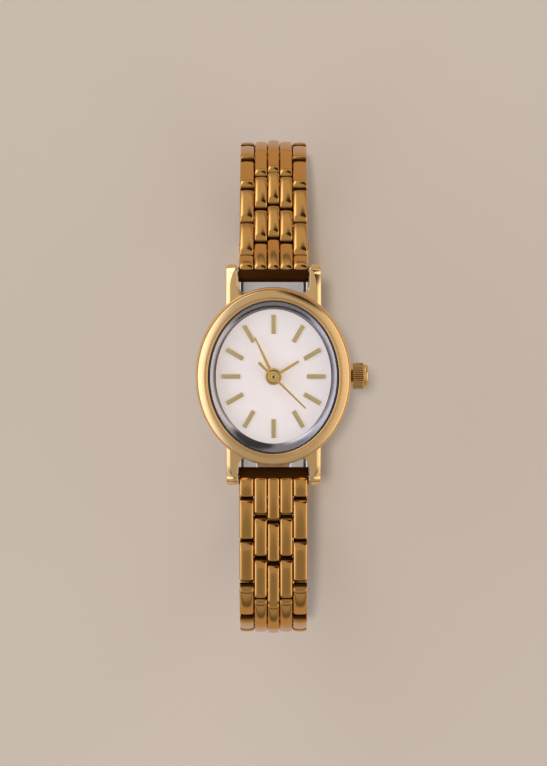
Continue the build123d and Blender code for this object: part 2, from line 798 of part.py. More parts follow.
# Stator: a flat iron plate round the rotor, joined to both ends of the coil's core
stator_bottom = second_wheel_level
coil_place = (0, -coil_distance)
core_half_length = coil_length / 2 + coil_core_overhang
stator_hole_radius = rotor_radius + stator_gap
stator_ring_radius = stator_hole_radius + stator_ring_width
with BuildPart() as stator:
    with BuildSketch(Plane.XY.offset(stator_bottom)):
        with Locations(rotor_place):
            shaft(stator_ring_radius, round_sides)
        arm_top = rotor_place[1] - stator_hole_radius
        arm_middle = (arm_top + coil_place[1]) / 2
        with Locations((core_half_length - stator_arm_width / 2, arm_middle)):
            Rectangle(stator_arm_width, arm_top - coil_place[1])
        with Locations(rotor_place):
            hole(stator_hole_radius, mode=Mode.SUBTRACT)
    extrude(amount=stator_thickness)
stator.part.label = "stator"
export_step(stator.part, "parts/stator.step")

# Coil: the iron core and the round winding on it
core_level = stator_bottom + stator_thickness
with BuildPart() as coil:
    with BuildSketch(Plane.XY.offset(core_level)):
        with Locations(coil_place):
            Rectangle(2 * core_half_length, coil_core_width)
    extrude(amount=stator_thickness)
    with BuildSketch(Plane.YZ.offset(-coil_length / 2)):
        with Locations((coil_place[1], core_level + stator_thickness / 2)):
            shaft(coil_radius)
    extrude(amount=coil_length)
coil.part.label = "coil"
export_step(coil.part, "parts/coil.step")

# Battery: a button cell with its smaller raised face below
battery_step_radius = battery_radius - 2 * battery_pocket_gap
with BuildPart() as battery:
    with BuildSketch(Plane.XY.offset(battery_bottom + clamp_thickness)):
        with Locations(battery_place):
            shaft(battery_radius, large_sides)
    extrude(amount=battery_height - clamp_thickness)
    with BuildSketch(Plane.XY.offset(battery_bottom)):
        with Locations(battery_place):
            shaft(battery_step_radius, large_sides)
    extrude(amount=clamp_thickness)
battery.part.label = "battery"
export_step(battery.part, "parts/battery.step")

# Battery clamp: a flat spring across the cell, with a post at each end
clamp_half_length = battery_radius + battery_pocket_gap + clamp_width / 4
clamp_post_width = clamp_width / 4
with BuildPart() as battery_clamp:
    with BuildSketch(Plane.XY.offset(battery_bottom - clamp_thickness)):
        with Locations(battery_place):
            Rectangle(2 * clamp_half_length, clamp_width)
    extrude(amount=clamp_thickness)
    with BuildSketch(Plane.XY.offset(battery_bottom)):
        with Locations((battery_place[0] + clamp_half_length - clamp_post_width / 2,
                        battery_place[1]),
                       (battery_place[0] - clamp_half_length + clamp_post_width / 2,
                        battery_place[1])):
            Rectangle(clamp_post_width - battery_pocket_gap, clamp_width)
    extrude(amount=plate_bottom - battery_bottom)
battery_clamp.part.label = "battery_clamp"
export_step(battery_clamp.part, "parts/battery_clamp.step")

# Circuit block: the board under the main plate and the chip on it
circuit_bottom = plate_bottom - circuit_thickness
circuit_place = (circuit_place_share[0] * movement_half_width,
                 circuit_place_share[1] * movement_half_length)
with BuildPart() as circuit_block:
    with BuildSketch(Plane.XY.offset(circuit_bottom)):
        with Locations(circuit_place):
            Rectangle(circuit_length, circuit_width)
    extrude(amount=circuit_thickness)
    with BuildSketch(Plane.XY.offset(circuit_bottom - chip_height)):
        with Locations(circuit_place):
            Rectangle(chip_length, chip_width)
    extrude(amount=chip_height)
circuit_block.part.label = "circuit_block"
export_step(circuit_block.part, "parts/circuit_block.step")

# Setting stem: from the movement out through the tube into the crown
crown_inner_face = case_half_width + crown_gap
stem_outer_end = crown_inner_face + crown_screw_depth
with BuildPart() as stem:
    with BuildSketch(Plane.YZ.offset(stem_inner_end)):
        with Locations((0, stem_height)):
            shaft(stem_radius)
    extrude(amount=stem_outer_end - stem_inner_end)
    with BuildSketch(Plane.YZ.offset(stem_groove_place - stem_groove_width / 2)):
        with Locations((0, stem_height)):
            shaft(stem_radius + cut_over)
            shaft(stem_groove_radius, mode=Mode.SUBTRACT)
    extrude(amount=stem_groove_width, mode=Mode.SUBTRACT)
stem.part.label = "stem"
export_step(stem.part, "parts/stem.step")

# Setting lever: its pin stands in the groove of the stem and slides with it
lever_top = plate_bottom - arbor_play
pin_top = stem_height - stem_groove_radius - arbor_play
with BuildPart() as setting_lever:
    with BuildSketch(Plane.XY.offset(lever_top - lever_thickness)):
        with Locations((stem_groove_place, -lever_length / 2 + lever_width / 2)):
            Rectangle(lever_width, lever_length)
    extrude(amount=lever_thickness)
    with BuildSketch(Plane.XY.offset(lever_top)):
        with Locations((stem_groove_place, 0)):
            shaft(lever_pin_radius)
    extrude(amount=pin_top - lever_top)
setting_lever.part.label = "setting_lever"
export_step(setting_lever.part, "parts/setting_lever.step")

# Crown: straight flutes round the rim, a smaller smooth cap, a recess for the tube
fluted_length = crown_length - crown_cap_length
flute_points = []
for step in range(2 * crown_flutes):
    reach = crown_radius if step % 2 == 0 else crown_radius - crown_flute_depth
    turn = radians(step * 180 / crown_flutes)
    flute_points.append((reach * cos(turn), reach * sin(turn)))
crown_plane = Plane(origin=(crown_inner_face, 0, stem_height), x_dir=(0, 1, 0),
                    z_dir=(1, 0, 0))
with BuildPart() as crown:
    with BuildSketch(crown_plane):
        Polygon(*flute_points, align=None)
    extrude(amount=fluted_length)
    with BuildSketch(crown_plane.offset(fluted_length)):
        shaft(crown_cap_radius, large_sides)
    extrude(amount=crown_cap_length)
    chamfer(crown.edges().group_by(Axis.X)[-1], crown_cap_bevel)
    with BuildSketch(crown_plane):
        hole(crown_recess_radius)
    extrude(amount=crown_recess_depth, mode=Mode.SUBTRACT)
    with BuildSketch(crown_plane):
        hole(stem_radius)
    extrude(amount=crown_screw_depth, mode=Mode.SUBTRACT)
crown.part.label = "crown"
export_step(crown.part, "parts/crown.step")

# Crown gasket: a rubber ring in the crown that slides on the tube
with BuildPart() as crown_gasket:
    with BuildSketch(crown_plane.offset(running_gap)):
        shaft(crown_recess_radius)
        hole(tube_outer_radius + crown_gasket_gap, mode=Mode.SUBTRACT)
    extrude(amount=crown_gasket_length)
crown_gasket.part.label = "crown_gasket"
export_step(crown_gasket.part, "parts/crown_gasket.step")

# Spring bars between the lugs
bar_body_length = lug_gap - 2 * spring_bar_end_play
bar_tip_reach = lug_gap + 2 * (spring_bar_tip_length - spring_bar_end_play)
for name, side in (("twelve_spring_bar", 1), ("six_spring_bar", -1)):
    bar_middle = (0, side * lug_bar_distance, lug_bar_height)
    bar_body = across(shaft, spring_bar_radius, bar_body_length, bar_middle)
    bar_tips = across(shaft, spring_bar_tip_radius, bar_tip_reach, bar_middle)
    with BuildPart() as spring_bar:
        add(bar_body)
        add(bar_tips)
    spring_bar.part.label = name
    export_step(spring_bar.part, "parts/" + name + ".step")


# Link widths and the lines between its five bars
link_half_width = bracelet_width / 2
outer_bar_inner = link_half_width - outer_bar_width
block_half_width = outer_bar_inner - side_gap
centre_half_width = centre_bar_width / 2
near_end = knuckle_radius + bar_gap


def bar_side(length_from, length_to, rolled_at=None, radius=knuckle_radius):
    """Side view of a bar: a flat strip, rolled round at one end."""
    with BuildSketch() as side:
        with Locations(((length_from + length_to) / 2, 0)):
            Rectangle(length_to - length_from, 2 * link_half_thickness)
        if rolled_at is not None:
            with BuildSketch(mode=Mode.PRIVATE) as roll:
                with Locations((rolled_at, 0)):
                    RegularPolygon(radius, knuckle_sides, rotation=180 / knuckle_sides)
                    Rectangle(2 * radius, 2 * link_half_thickness, mode=Mode.INTERSECT)
            add(roll.sketch)
    return side.sketch


def bar_solid(side_view, across_from, across_to):
    """Bar of the given side view, between two places across the bracelet."""
    with BuildPart() as bar:
        with BuildSketch(Plane.YZ.offset(across_from)):
            add(side_view)
        extrude(amount=across_to - across_from)
    return bar.part


def link_solid(pitch, is_end_link):
    """One bracelet link with its near hinge at the origin and its far hinge along Y."""
    outer_end = pitch - near_end
    block_side = bar_side(0 if is_end_link else near_end, pitch, pitch)
    outer_bar = bar_solid(bar_side(0, outer_end, 0), outer_bar_inner, link_half_width)
    block = bar_solid(block_side, -block_half_width, block_half_width)
    tip = bar_solid(bar_side(pitch - near_end, pitch, pitch, tip_reach), -centre_half_width,
                    centre_half_width)
    web_near = 0 if is_end_link else near_end + web_margin
    web_far = outer_end - web_margin
    web_height = web_top + link_half_thickness
    notch_half_width = centre_half_width + side_gap
    notch_end = tip_reach + bar_gap
    with BuildPart() as link:
        add(outer_bar)
        chamfer(link.edges().filter_by(Axis.Y).group_by(Axis.Z)[-1], bar_bevel)
        mirror(about=Plane.YZ)
        add(block)
        add(tip)
        with BuildSketch(Plane.XY.offset(-link_half_thickness)):
            with Locations((0, (web_near + web_far) / 2)):
                Rectangle(2 * outer_bar_inner + side_gap, web_far - web_near)
        extrude(amount=web_height)
        if is_end_link:
            with BuildSketch(Plane.YZ.offset(-link_half_width + bar_bevel)):
                add(bar_side(0, near_end, 0))
            extrude(amount=2 * (link_half_width - bar_bevel))
        else:
            with BuildSketch(Plane.XY.offset(-link_half_thickness)):
                with Locations((0, near_end)):
                    Rectangle(2 * notch_half_width, 2 * (notch_end - near_end))
            extrude(amount=2 * link_half_thickness, mode=Mode.SUBTRACT)
        valley_places = ((-centre_half_width, link_half_thickness),
                         (centre_half_width, link_half_thickness))
        with BuildSketch(Plane.XZ.offset(cut_over)):
            with Locations(*valley_places):
                Polygon((-valley_width / 2, 0), (0, -valley_depth), (valley_width / 2, 0),
                        align=None)
        extrude(amount=-(pitch + knuckle_radius + 2 * cut_over), mode=Mode.SUBTRACT)
    return link.part


def bored(blank, radius, place):
    """Link with a bore right across it."""
    bore = across(hole, radius, bracelet_width + cut_over, (0, place, 0))
    with BuildPart() as link:
        add(blank)
        add(bore, mode=Mode.SUBTRACT)
    return link.part


def write_node(name, solids):
    """One node that holds separate solids."""
    node = Compound(label=name, children=solids)
    export_step(node, "parts/" + name + ".step")


link_bore_radius = link_pin_radius + running_gap
end_link = bored(link_solid(end_link_pitch, True), link_bore_radius, end_link_pitch)
end_link = bored(end_link, spring_bar_radius + running_gap, 0)
bracelet_link = bored(link_solid(link_pitch, False), link_bore_radius, link_pitch)
link_pin = across(shaft, link_pin_radius, 2 * outer_bar_inner)

# The ring: every link is placed at its hinge, turned to its direction
six_path = ring_path(lug_bar_distance, lug_bar_height, six_headings)
open_path = ring_path(lug_bar_distance, lug_bar_height, twelve_headings)
closing_drop = open_path[-1][1] - six_path[-1][1]
closing_heading = 180 - degrees(asin(closing_drop / link_pitch))
closed_headings = twelve_headings + (closing_heading,)
twelve_path = ring_path(lug_bar_distance, lug_bar_height, closed_headings)
for side_name, side, path, headings in (("twelve", 1, twelve_path, closed_headings),
                                        ("six", -1, six_path, six_headings)):
    for number, heading in enumerate(headings):
        place = ring_plane(side, path[number], heading).location
        if number == 0:
            write_node(side_name + "_end_link", [copy(end_link).moved(place)])
        else:
            solids = [copy(bracelet_link).moved(place), copy(link_pin).moved(place)]
            write_node(side_name + "_link_" + str(number), solids)

# Clasp: its frame stands level at the last hinge of the 12 side, towards the 6 side
clasp_length = twelve_path[-1][0] + six_path[-1][0]
clasp_place = ring_plane(1, twelve_path[-1], 180).location
cover_half_width = link_half_width + cover_side_gap + cover_wall
cover_hinge = (0, clasp_length - cover_hinge_back, cover_hinge_depth)
blade_hinge = (0, blade_hinge_place, blade_hinge_depth)

# Clasp cover: a floor with two side walls, rounded at the ends of the walls
cover_bottom = cover_floor_depth + cover_wall
cover_pin_hole = across(hole, blade_pin_radius, 2 * cover_half_width, cover_hinge)
cover_bar_hole = across(hole, link_pin_radius, 2 * cover_half_width)
cover_floor_end = cover_hinge[1] + blade_hinge_radius - side_gap
with BuildPart() as cover:
    with BuildSketch(Plane.YZ.offset(link_half_width + cover_side_gap)):
        with Locations(((cover_hinge[1] - cover_overhang) / 2,
                        (cover_bottom - cover_wall_top) / 2)):
            Rectangle(cover_hinge[1] + cover_overhang, cover_bottom + cover_wall_top)
        with Locations((cover_hinge[1], (cover_bottom + cover_hinge_depth) / 2)):
            Rectangle(2 * (cover_floor_end - cover_hinge[1]), cover_bottom - cover_hinge_depth)
        with Locations((cover_hinge[1], cover_hinge_depth)):
            shaft(cover_floor_end - cover_hinge[1])
    extrude(amount=cover_wall)
    mirror(about=Plane.YZ)
    with BuildSketch(Plane.XY.offset(cover_floor_depth)):
        with Locations((0, (cover_floor_end - cover_overhang) / 2)):
            Rectangle(2 * cover_half_width, cover_floor_end + cover_overhang)
    extrude(amount=cover_wall)
    add(cover_pin_hole, mode=Mode.SUBTRACT)
    add(cover_bar_hole, mode=Mode.SUBTRACT)
write_node("clasp_cover", [cover.part.moved(clasp_place)])
write_node("clasp_cover_pin", [
    across(shaft, blade_pin_radius, 2 * cover_half_width, cover_hinge).moved(clasp_place)])
write_node("clasp_spring_bar", [
    across(shaft, link_pin_radius, 2 * cover_half_width).moved(clasp_place)])

# Middle blade: hinged to the cover at one end and to the inner blade at the other
middle_bore = across(hole, blade_pin_radius + running_gap, 2 * cover_half_width, cover_hinge)
middle_pin_hole = across(hole, blade_pin_radius, 2 * cover_half_width, blade_hinge)
middle_face = cover_hinge_depth - blade_thickness / 2
knuckle_clear = blade_hinge_radius + blade_side_gap
window_length = clasp_length - cover_hinge_back - blade_hinge_place - 2 * blade_window_margin
window_middle = (cover_hinge[1] + blade_hinge[1]) / 2
with BuildPart() as middle_blade:
    with BuildSketch(Plane.XY.offset(middle_face)):
        with Locations((0, window_middle)):
            Rectangle(2 * blade_half_width, cover_hinge[1] - blade_hinge[1])
            Rectangle(2 * blade_window_half_width, window_length, mode=Mode.SUBTRACT)
    extrude(amount=blade_thickness)
    with BuildSketch(Plane.YZ.offset(-blade_half_width)):
        with Locations((cover_hinge[1], cover_hinge[2]), (blade_hinge[1], blade_hinge[2])):
            shaft(blade_hinge_radius)
    extrude(amount=2 * blade_half_width)
    with BuildSketch(Plane.XY):
        with Locations((0, blade_hinge[1])):
            Rectangle(2 * middle_knuckle_inner, 2 * knuckle_clear)
    extrude(amount=cover_floor_depth, mode=Mode.SUBTRACT)
    add(middle_bore, mode=Mode.SUBTRACT)
    add(middle_pin_hole, mode=Mode.SUBTRACT)
write_node("clasp_middle_blade", [middle_blade.part.moved(clasp_place)])
write_node("clasp_blade_pin", [
    across(shaft, blade_pin_radius, 2 * blade_half_width, blade_hinge).moved(clasp_place)])

# Inner blade: ends in a fork that stands beside the last link's spring bar
inner_bore = across(hole, blade_pin_radius + running_gap, 2 * cover_half_width, blade_hinge)
inner_face = inner_blade_depth - blade_thickness / 2
inner_knuckle_half = middle_knuckle_inner - blade_side_gap
inner_wide_from = blade_hinge[1] + knuckle_clear
inner_wide_to = clasp_length - tongue_back
fork_end = clasp_length - link_pin_radius - fork_gap
fork_inner = block_half_width + fork_side_gap
fork_width = blade_half_width - fork_inner
with BuildPart() as inner_blade:
    with BuildSketch(Plane.XY.offset(inner_face)):
        with Locations((0, (inner_wide_from + inner_wide_to) / 2)):
            Rectangle(2 * blade_half_width, inner_wide_to - inner_wide_from)
            Rectangle(2 * blade_window_half_width, window_length, mode=Mode.SUBTRACT)
        with Locations((0, (blade_hinge[1] + inner_wide_from) / 2)):
            Rectangle(2 * inner_knuckle_half, inner_wide_from - blade_hinge[1])
        with Locations((fork_inner + fork_width / 2, (inner_wide_to + fork_end) / 2),
                       (-fork_inner - fork_width / 2, (inner_wide_to + fork_end) / 2)):
            Rectangle(fork_width, fork_end - inner_wide_to)
    extrude(amount=blade_thickness)
    with BuildSketch(Plane.YZ.offset(-inner_knuckle_half)):
        with Locations((blade_hinge[1], blade_hinge[2])):
            shaft(blade_hinge_radius)
    extrude(amount=2 * inner_knuckle_half)
    add(inner_bore, mode=Mode.SUBTRACT)
write_node("clasp_inner_blade", [inner_blade.part.moved(clasp_place)])

# Spring bar of the last link on the 6 side, which the fork of the clasp takes
last_six_place = ring_plane(-1, six_path[-1], six_headings[-1]).location
write_node("six_spring_bar_clasp", [
    across(shaft, link_pin_radius, 2 * blade_half_width).moved(last_six_place)])

for name, path in (("12 side", twelve_path), ("6 side", six_path)):
    print(name, [(round(place[0], 3), round(place[1], 3)) for place in path])
print("clasp length", round(clasp_length, 4), "closing heading", round(closing_heading, 4))
print("rest height", round(twelve_path[-1][1] - cover_bottom, 4))
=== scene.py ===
import json
import bmesh
import bpy
import numpy as np
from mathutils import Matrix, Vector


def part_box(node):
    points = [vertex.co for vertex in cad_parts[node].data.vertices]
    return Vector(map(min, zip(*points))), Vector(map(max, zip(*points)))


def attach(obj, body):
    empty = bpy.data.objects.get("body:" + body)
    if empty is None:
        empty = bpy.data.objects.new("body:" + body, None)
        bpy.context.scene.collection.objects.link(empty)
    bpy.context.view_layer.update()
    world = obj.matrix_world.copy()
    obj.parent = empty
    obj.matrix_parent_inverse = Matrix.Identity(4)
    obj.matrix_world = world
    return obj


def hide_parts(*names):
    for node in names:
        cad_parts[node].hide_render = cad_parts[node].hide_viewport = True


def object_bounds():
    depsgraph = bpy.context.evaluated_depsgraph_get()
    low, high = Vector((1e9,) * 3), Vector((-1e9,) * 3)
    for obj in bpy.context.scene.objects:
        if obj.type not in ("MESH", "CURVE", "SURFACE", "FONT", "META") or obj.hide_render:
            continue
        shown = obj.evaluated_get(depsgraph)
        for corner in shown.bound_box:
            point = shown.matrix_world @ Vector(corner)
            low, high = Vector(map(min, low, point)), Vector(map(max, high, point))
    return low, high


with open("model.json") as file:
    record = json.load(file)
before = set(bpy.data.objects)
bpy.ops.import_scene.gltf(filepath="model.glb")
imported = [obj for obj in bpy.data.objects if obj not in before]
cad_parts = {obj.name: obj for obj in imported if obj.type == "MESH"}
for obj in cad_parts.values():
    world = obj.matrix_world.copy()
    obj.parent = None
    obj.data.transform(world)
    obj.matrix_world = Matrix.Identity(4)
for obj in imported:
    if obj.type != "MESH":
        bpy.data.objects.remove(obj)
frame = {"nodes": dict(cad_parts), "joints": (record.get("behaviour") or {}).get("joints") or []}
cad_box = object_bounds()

# Case middle: one forged and polished piece of gold-plated metal, an oval barrel bored
# right through for the movement, with four horns that carry the bracelet's spring bars.
mm = 0.001
case_half_width = 10.15 * mm
case_half_length = 11.6 * mm
case_bottom = 0.6 * mm
bore_inset = 1.7 * mm


class Wire:
    """A value that flows between shader nodes, so that shader maths reads as plain sums."""

    def __init__(self, finish, socket):
        self.finish, self.socket = finish, socket

    def maths(self, operation, first, second):
        """One maths node on two values, either of which may be a plain number."""
        return self.finish.node("ShaderNodeMath", {"operation": operation}, {0: first, 1: second})

    def __add__(self, other): return self.maths("ADD", self, other)
    def __radd__(self, other): return self.maths("ADD", other, self)
    def __sub__(self, other): return self.maths("SUBTRACT", self, other)
    def __rsub__(self, other): return self.maths("SUBTRACT", other, self)
    def __mul__(self, other): return self.maths("MULTIPLY", self, other)
    def __rmul__(self, other): return self.maths("MULTIPLY", other, self)
    def __pow__(self, other): return self.maths("POWER", self, other)


class Nodes:
    """A node tree to which nodes are added one by one."""

    def __init__(self, tree):
        self.tree = tree

    def node(self, kind, settings=None, inputs=None, output=0):
        """Adds a node, sets its settings, then its sockets to values or links."""
        made = self.tree.nodes.new(kind)
        for key, value in (settings or {}).items():
            setattr(made, key, value)
        for key, value in (inputs or {}).items():
            self.plug(made.inputs[key], value)
        return Wire(self, made.outputs[output])

    def plug(self, socket, value):
        """Links a socket to a wire, or sets it to a plain value."""
        if isinstance(value, Wire):
            self.tree.links.new(value.socket, socket)
        else:
            socket.default_value = value


class Finish(Nodes):
    """One surface finish: a material built round its Principled shader."""

    def __init__(self, name):
        self.material = bpy.data.materials.new(name)
        self.material.use_nodes = True
        super().__init__(self.material.node_tree)
        self.shader = self.tree.nodes["Principled BSDF"]

    def set(self, **sockets):
        """Sets the shader's sockets; underscores in a name stand for spaces."""
        for key, value in sockets.items():
            self.plug(self.shader.inputs[key.replace("_", " ")], value)
        return self

    def place(self):
        """Where each point lies, in metres from the object's origin."""
        return self.node("ShaderNodeTexCoord", output="Object")

    def noise(self, scale, detail=3.0, stretch=None):
        """Soft noise with the given number of grains per metre, 0 to 1."""
        where = self.place()
        if stretch:
            where = self.node("ShaderNodeMapping", {}, {"Vector": where, "Scale": stretch})
        return self.node("ShaderNodeTexNoise", {}, {"Vector": where, "Scale": scale,
                                                    "Detail": detail}, output="Fac")

    def blend(self, amount, first, second):
        """Mix of two colours."""
        return self.node("ShaderNodeMix", {"data_type": "RGBA"},
                         {"Factor": amount, 6: first, 7: second}, output=2)

    def bump(self, height, strength, distance):
        """A normal tilted as if the surface rose by height times the distance, in metres."""
        return self.node("ShaderNodeBump", {}, {"Height": height, "Strength": strength,
                                                "Distance": distance})


def polished_metal(name, colour, shade, roughness, wave=0.05):
    """Polished plated metal: faint colour drift, fine polishing lines, a soft orange-peel wave."""
    finish = Finish(name)
    drift = finish.noise(260.0)
    lines = finish.noise(5200.0, 2.0, (1.0, 0.12, 1.0))
    peel = finish.noise(900.0, 1.0)
    finish.set(Base_Color=finish.blend(drift, shade, colour), Metallic=1.0,
               Roughness=lines * 0.03 + roughness,
               Normal=finish.bump(peel, wave, 0.00005))
    return finish


case_gold = polished_metal("case_gold", (0.93, 0.62, 0.29, 1), (0.88, 0.55, 0.23, 1), 0.07,
                          0.03)


def grid_faces(rows, columns, wrap_rows, wrap_columns):
    """Quads between neighbours on a grid of vertices, joined round where it wraps."""
    row = np.arange(rows if wrap_rows else rows - 1)[:, None]
    column = np.arange(columns if wrap_columns else columns - 1)[None, :]
    down, right = (row + 1) % rows, (column + 1) % columns
    corners = (row * columns + column, row * columns + right,
               down * columns + right, down * columns + column)
    corners = [np.broadcast_to(corner, (row.size, column.size)) for corner in corners]
    return np.stack(corners, -1).reshape(-1, 4)


def piece(name, grids, finish, body, nodes=(), sharp=0.6, rise=None):
    """Makes one mesh of closed grids, each (points, wrap_rows, wrap_columns), and mounts it.

    Edges that bend by less than sharp, in radians, are shaded smooth. The last argument is a
    share at each vertex, 0 to 1, that the finish may read: on the bracelet and the crown it is
    0 where shade is painted darkest, and on the clasp cover it is 1 where the cover is plated."""
    points, faces, start = [], [], 0
    for grid, wrap_rows, wrap_columns in grids:
        rows, columns = grid.shape[:2]
        points.append(grid.reshape(-1, 3))
        faces.append(start + grid_faces(rows, columns, wrap_rows, wrap_columns))
        start += rows * columns
    points, faces = np.concatenate(points), np.concatenate(faces)
    mesh = bpy.data.meshes.new(name)
    mesh.from_pydata(points.tolist(), [], faces.tolist())
    if rise is not None:
        mesh.attributes.new("rise", "FLOAT", "POINT").data.foreach_set("value", rise)
    work = bmesh.new()
    work.from_mesh(mesh)
    bmesh.ops.remove_doubles(work, verts=work.verts, dist=1e-7)
    bmesh.ops.dissolve_degenerate(work, edges=work.edges, dist=1e-8)
    bmesh.ops.recalc_face_normals(work, faces=work.faces)
    for edge in work.edges:
        edge.smooth = len(edge.link_faces) == 2 and edge.calc_face_angle(0.0) < sharp
    for face in work.faces:
        face.smooth = True
    work.to_mesh(mesh)
    work.free()
    made = bpy.data.objects.new(name, mesh)
    bpy.context.scene.collection.objects.link(made)
    mesh.materials.append(finish.material)
    if nodes:
        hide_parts(*nodes)
    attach(made, body)
    return made


def rounded(corners, radius, steps=5):
    """Closed outline with its corners drawn round.

    A corner c becomes (1 - t)^2 p + 2 t (1 - t) c + t^2 q, where p and q lie the radius
    before and after it, or just short of half-way along a side that is too short."""
    corners = np.array(corners, float)
    out = []
    radii = np.broadcast_to(radius, (len(corners),))
    for before, corner, after, r in zip(np.roll(corners, 1, 0), corners,
                                        np.roll(corners, -1, 0), radii):
        back, ahead = np.linalg.norm(before - corner), np.linalg.norm(after - corner)
        first = corner + (before - corner) * min(r / max(back, 1e-9), 0.49)
        last = corner + (after - corner) * min(r / max(ahead, 1e-9), 0.49)
        t = np.linspace(0, 1, steps)[:, None]
        out.append((1 - t) ** 2 * first + 2 * t * (1 - t) * corner + t ** 2 * last)
    return np.concatenate(out)


def oval_ring(outline, half_width, half_length, around=224):
    """An outline of (inset, height) carried round an oval: x = (a - inset) cos t, y likewise."""
    t = np.linspace(0, 2 * np.pi, around, endpoint=False)[:, None]
    inset, height = outline[None, :, 0], outline[None, :, 1]
    x = (half_width - inset) * np.cos(t)
    y = (half_length - inset) * np.sin(t)
    return np.stack([x, y, np.broadcast_to(height, x.shape)], -1), True, True


# from the foot up the bellied flank to the seam under the bezel, then down the bore
case_top = 4.1 * mm
barrel = rounded([(1.0 * mm, case_bottom), (0.35 * mm, 1.1 * mm), (0.02 * mm, 2.0 * mm),
                  (0.0, 4.2 * mm), (0.13 * mm, 4.42 * mm), (0.19 * mm, 4.42 * mm),
                  (0.2 * mm, case_top), (bore_inset, case_top), (bore_inset, case_bottom)],
                 np.array([0.15, 0.5, 0.7, 0.12, 0.04, 0.02, 0.01, 0.01, 0.02]) * mm)
case_grids = [oval_ring(barrel, case_half_width, case_half_length)]

# the four horns are sections carried outwards from inside the barrel to their round ends
lug_inner, lug_outer = 4.7 * mm, 6.2 * mm
lug_centre, lug_height, lug_end = 13.3 * mm, 1.2 * mm, 1.2 * mm
lug_root, lug_root_top, lug_root_bottom = 8.6 * mm, 4.05 * mm, 0.75 * mm
barrel_edge, fillet_radius = case_half_length - 0.9 * mm, 1.2 * mm
tip_corner, tip_draw_in = 0.6 * mm, 0.55 * mm
flat_share, bevel_slope = 0.62, 0.42


def closed_ends(grid):
    """A carried section with each end drawn together to the middle of its outline."""
    middle = grid.mean(1, keepdims=True)
    return np.concatenate([np.broadcast_to(middle[:1], grid[:1].shape), grid,
                           np.broadcast_to(middle[-1:], grid[-1:].shape)])


def horn(side_x, side_y, stations=48):
    """Five-cornered section, flat on top with a bevelled outer shoulder, carried along the horn.

    The top runs in a straight slope from the case to the round end, the flat narrows to a
    point there, and the inner side flares in a quarter circle where it leaves the barrel."""
    tip = lug_centre + lug_end
    places = lug_root + (tip - lug_root) * np.sin(np.linspace(0, np.pi / 2, stations))
    sections = []
    for y in places:
        slope = np.clip((y - lug_root) / (lug_centre - lug_root), 0, 1)
        end = np.clip((y - lug_centre) / lug_end, 0, 1)
        height = np.sqrt(1 - end ** 2)
        top = lug_root_top + (lug_height + lug_end - lug_root_top) * slope
        bottom = lug_root_bottom * (1 - slope)
        top = lug_height + (top - lug_height) * height
        bottom = lug_height + (bottom - lug_height) * height
        near_case = np.clip(1 - (y - barrel_edge) / fillet_radius, 0, 1)
        flare = fillet_radius * (1 - np.sqrt(1 - near_case ** 2))
        corner = np.clip(1 - (tip - y) / tip_corner, 0, 1)
        draw_in = tip_draw_in * (1 - np.sqrt(1 - corner ** 2))
        inner, outer = lug_inner - flare + draw_in, lug_outer - draw_in
        reach = np.clip((y - case_half_length) / (tip - case_half_length), 0, 1)
        crest = inner + (lug_outer - lug_inner) * flat_share * (1 - reach ** 2) + flare
        drop = min(bevel_slope * (outer - crest), 0.8 * (top - bottom))
        sections.append(rounded([(inner, bottom), (outer, bottom), (outer, top - drop),
                                 (crest, top), (inner, top)],
                                np.array([0.1, 0.1, 0.1, 0.03, 0.12]) * mm))
    x, z = np.array(sections)[..., 0], np.array(sections)[..., 1]
    y = np.broadcast_to(places[:, None], x.shape)
    return closed_ends(np.stack([side_x * x, side_y * y, z], -1)), False, True


case_grids += [horn(x, y) for x in (-1, 1) for y in (-1, 1)]
piece("case_middle_gold", case_grids, case_gold, "head", ["case_middle"], 0.35)


# Case back: a flat lid of brushed steel with a turned edge, pressed into the bore from below.
# Its plug stands up inside the barrel, and a rubber ring lies round the plug.
def brushed_metal(name, colour, shade, roughness):
    """Brushed metal: long fine grain along Y over a slow drift of tone."""
    finish = Finish(name)
    grain = finish.noise(9000.0, 2.0, (1.0, 0.02, 1.0))
    drift = finish.noise(180.0)
    finish.set(Base_Color=finish.blend(drift, shade, colour), Metallic=1.0,
               Roughness=grain * 0.18 + roughness,
               Normal=finish.bump(grain, 0.12, 0.00002))
    return finish


back_steel = brushed_metal("back_steel", (0.62, 0.61, 0.60, 1), (0.5, 0.49, 0.48, 1), 0.24)
back_inset = 1.25 * mm
lid_half_width, lid_half_length = case_half_width - back_inset, case_half_length - back_inset
lid_top, plug_bottom, plug_top = 0.45 * mm, 0.4 * mm, 0.88 * mm


def oval_disc(half_width, half_length, bottom, top, edge, around=224, rings=10):
    """Solid oval plate, x = k a cos t and y = k b sin t.

    The share k falls from 1 at the edge, which is rounded above and below, to the middle."""
    t = np.linspace(0, 2 * np.pi, around, endpoint=False)[:, None]
    turn = np.linspace(-np.pi / 2, np.pi / 2, 9)
    inset = edge * (1 - np.cos(turn))
    height = np.where(turn < 0, bottom + edge * (1 + np.sin(turn)),
                      top - edge * (1 - np.sin(turn)))
    flat = np.append(np.linspace(half_width, 1.6 * edge, rings), 1.04 * edge)
    inset = np.concatenate([flat, inset, flat[::-1]])
    height = np.concatenate([np.full(rings + 1, bottom), height, np.full(rings + 1, top)])
    reach = 1 - inset / half_width
    x, y = half_width * reach * np.cos(t), half_length * reach * np.sin(t)
    return np.stack([x, y, np.broadcast_to(height, x.shape)], -1), True, False


piece("case_back_lid", [oval_disc(lid_half_width, lid_half_length, 0.0, lid_top, 0.15 * mm),
                        oval_disc(lid_half_width - 0.46 * mm, lid_half_length - 0.36 * mm,
                                  plug_bottom, plug_top, 0.03 * mm)],
      back_steel, "head", ["case_back"])

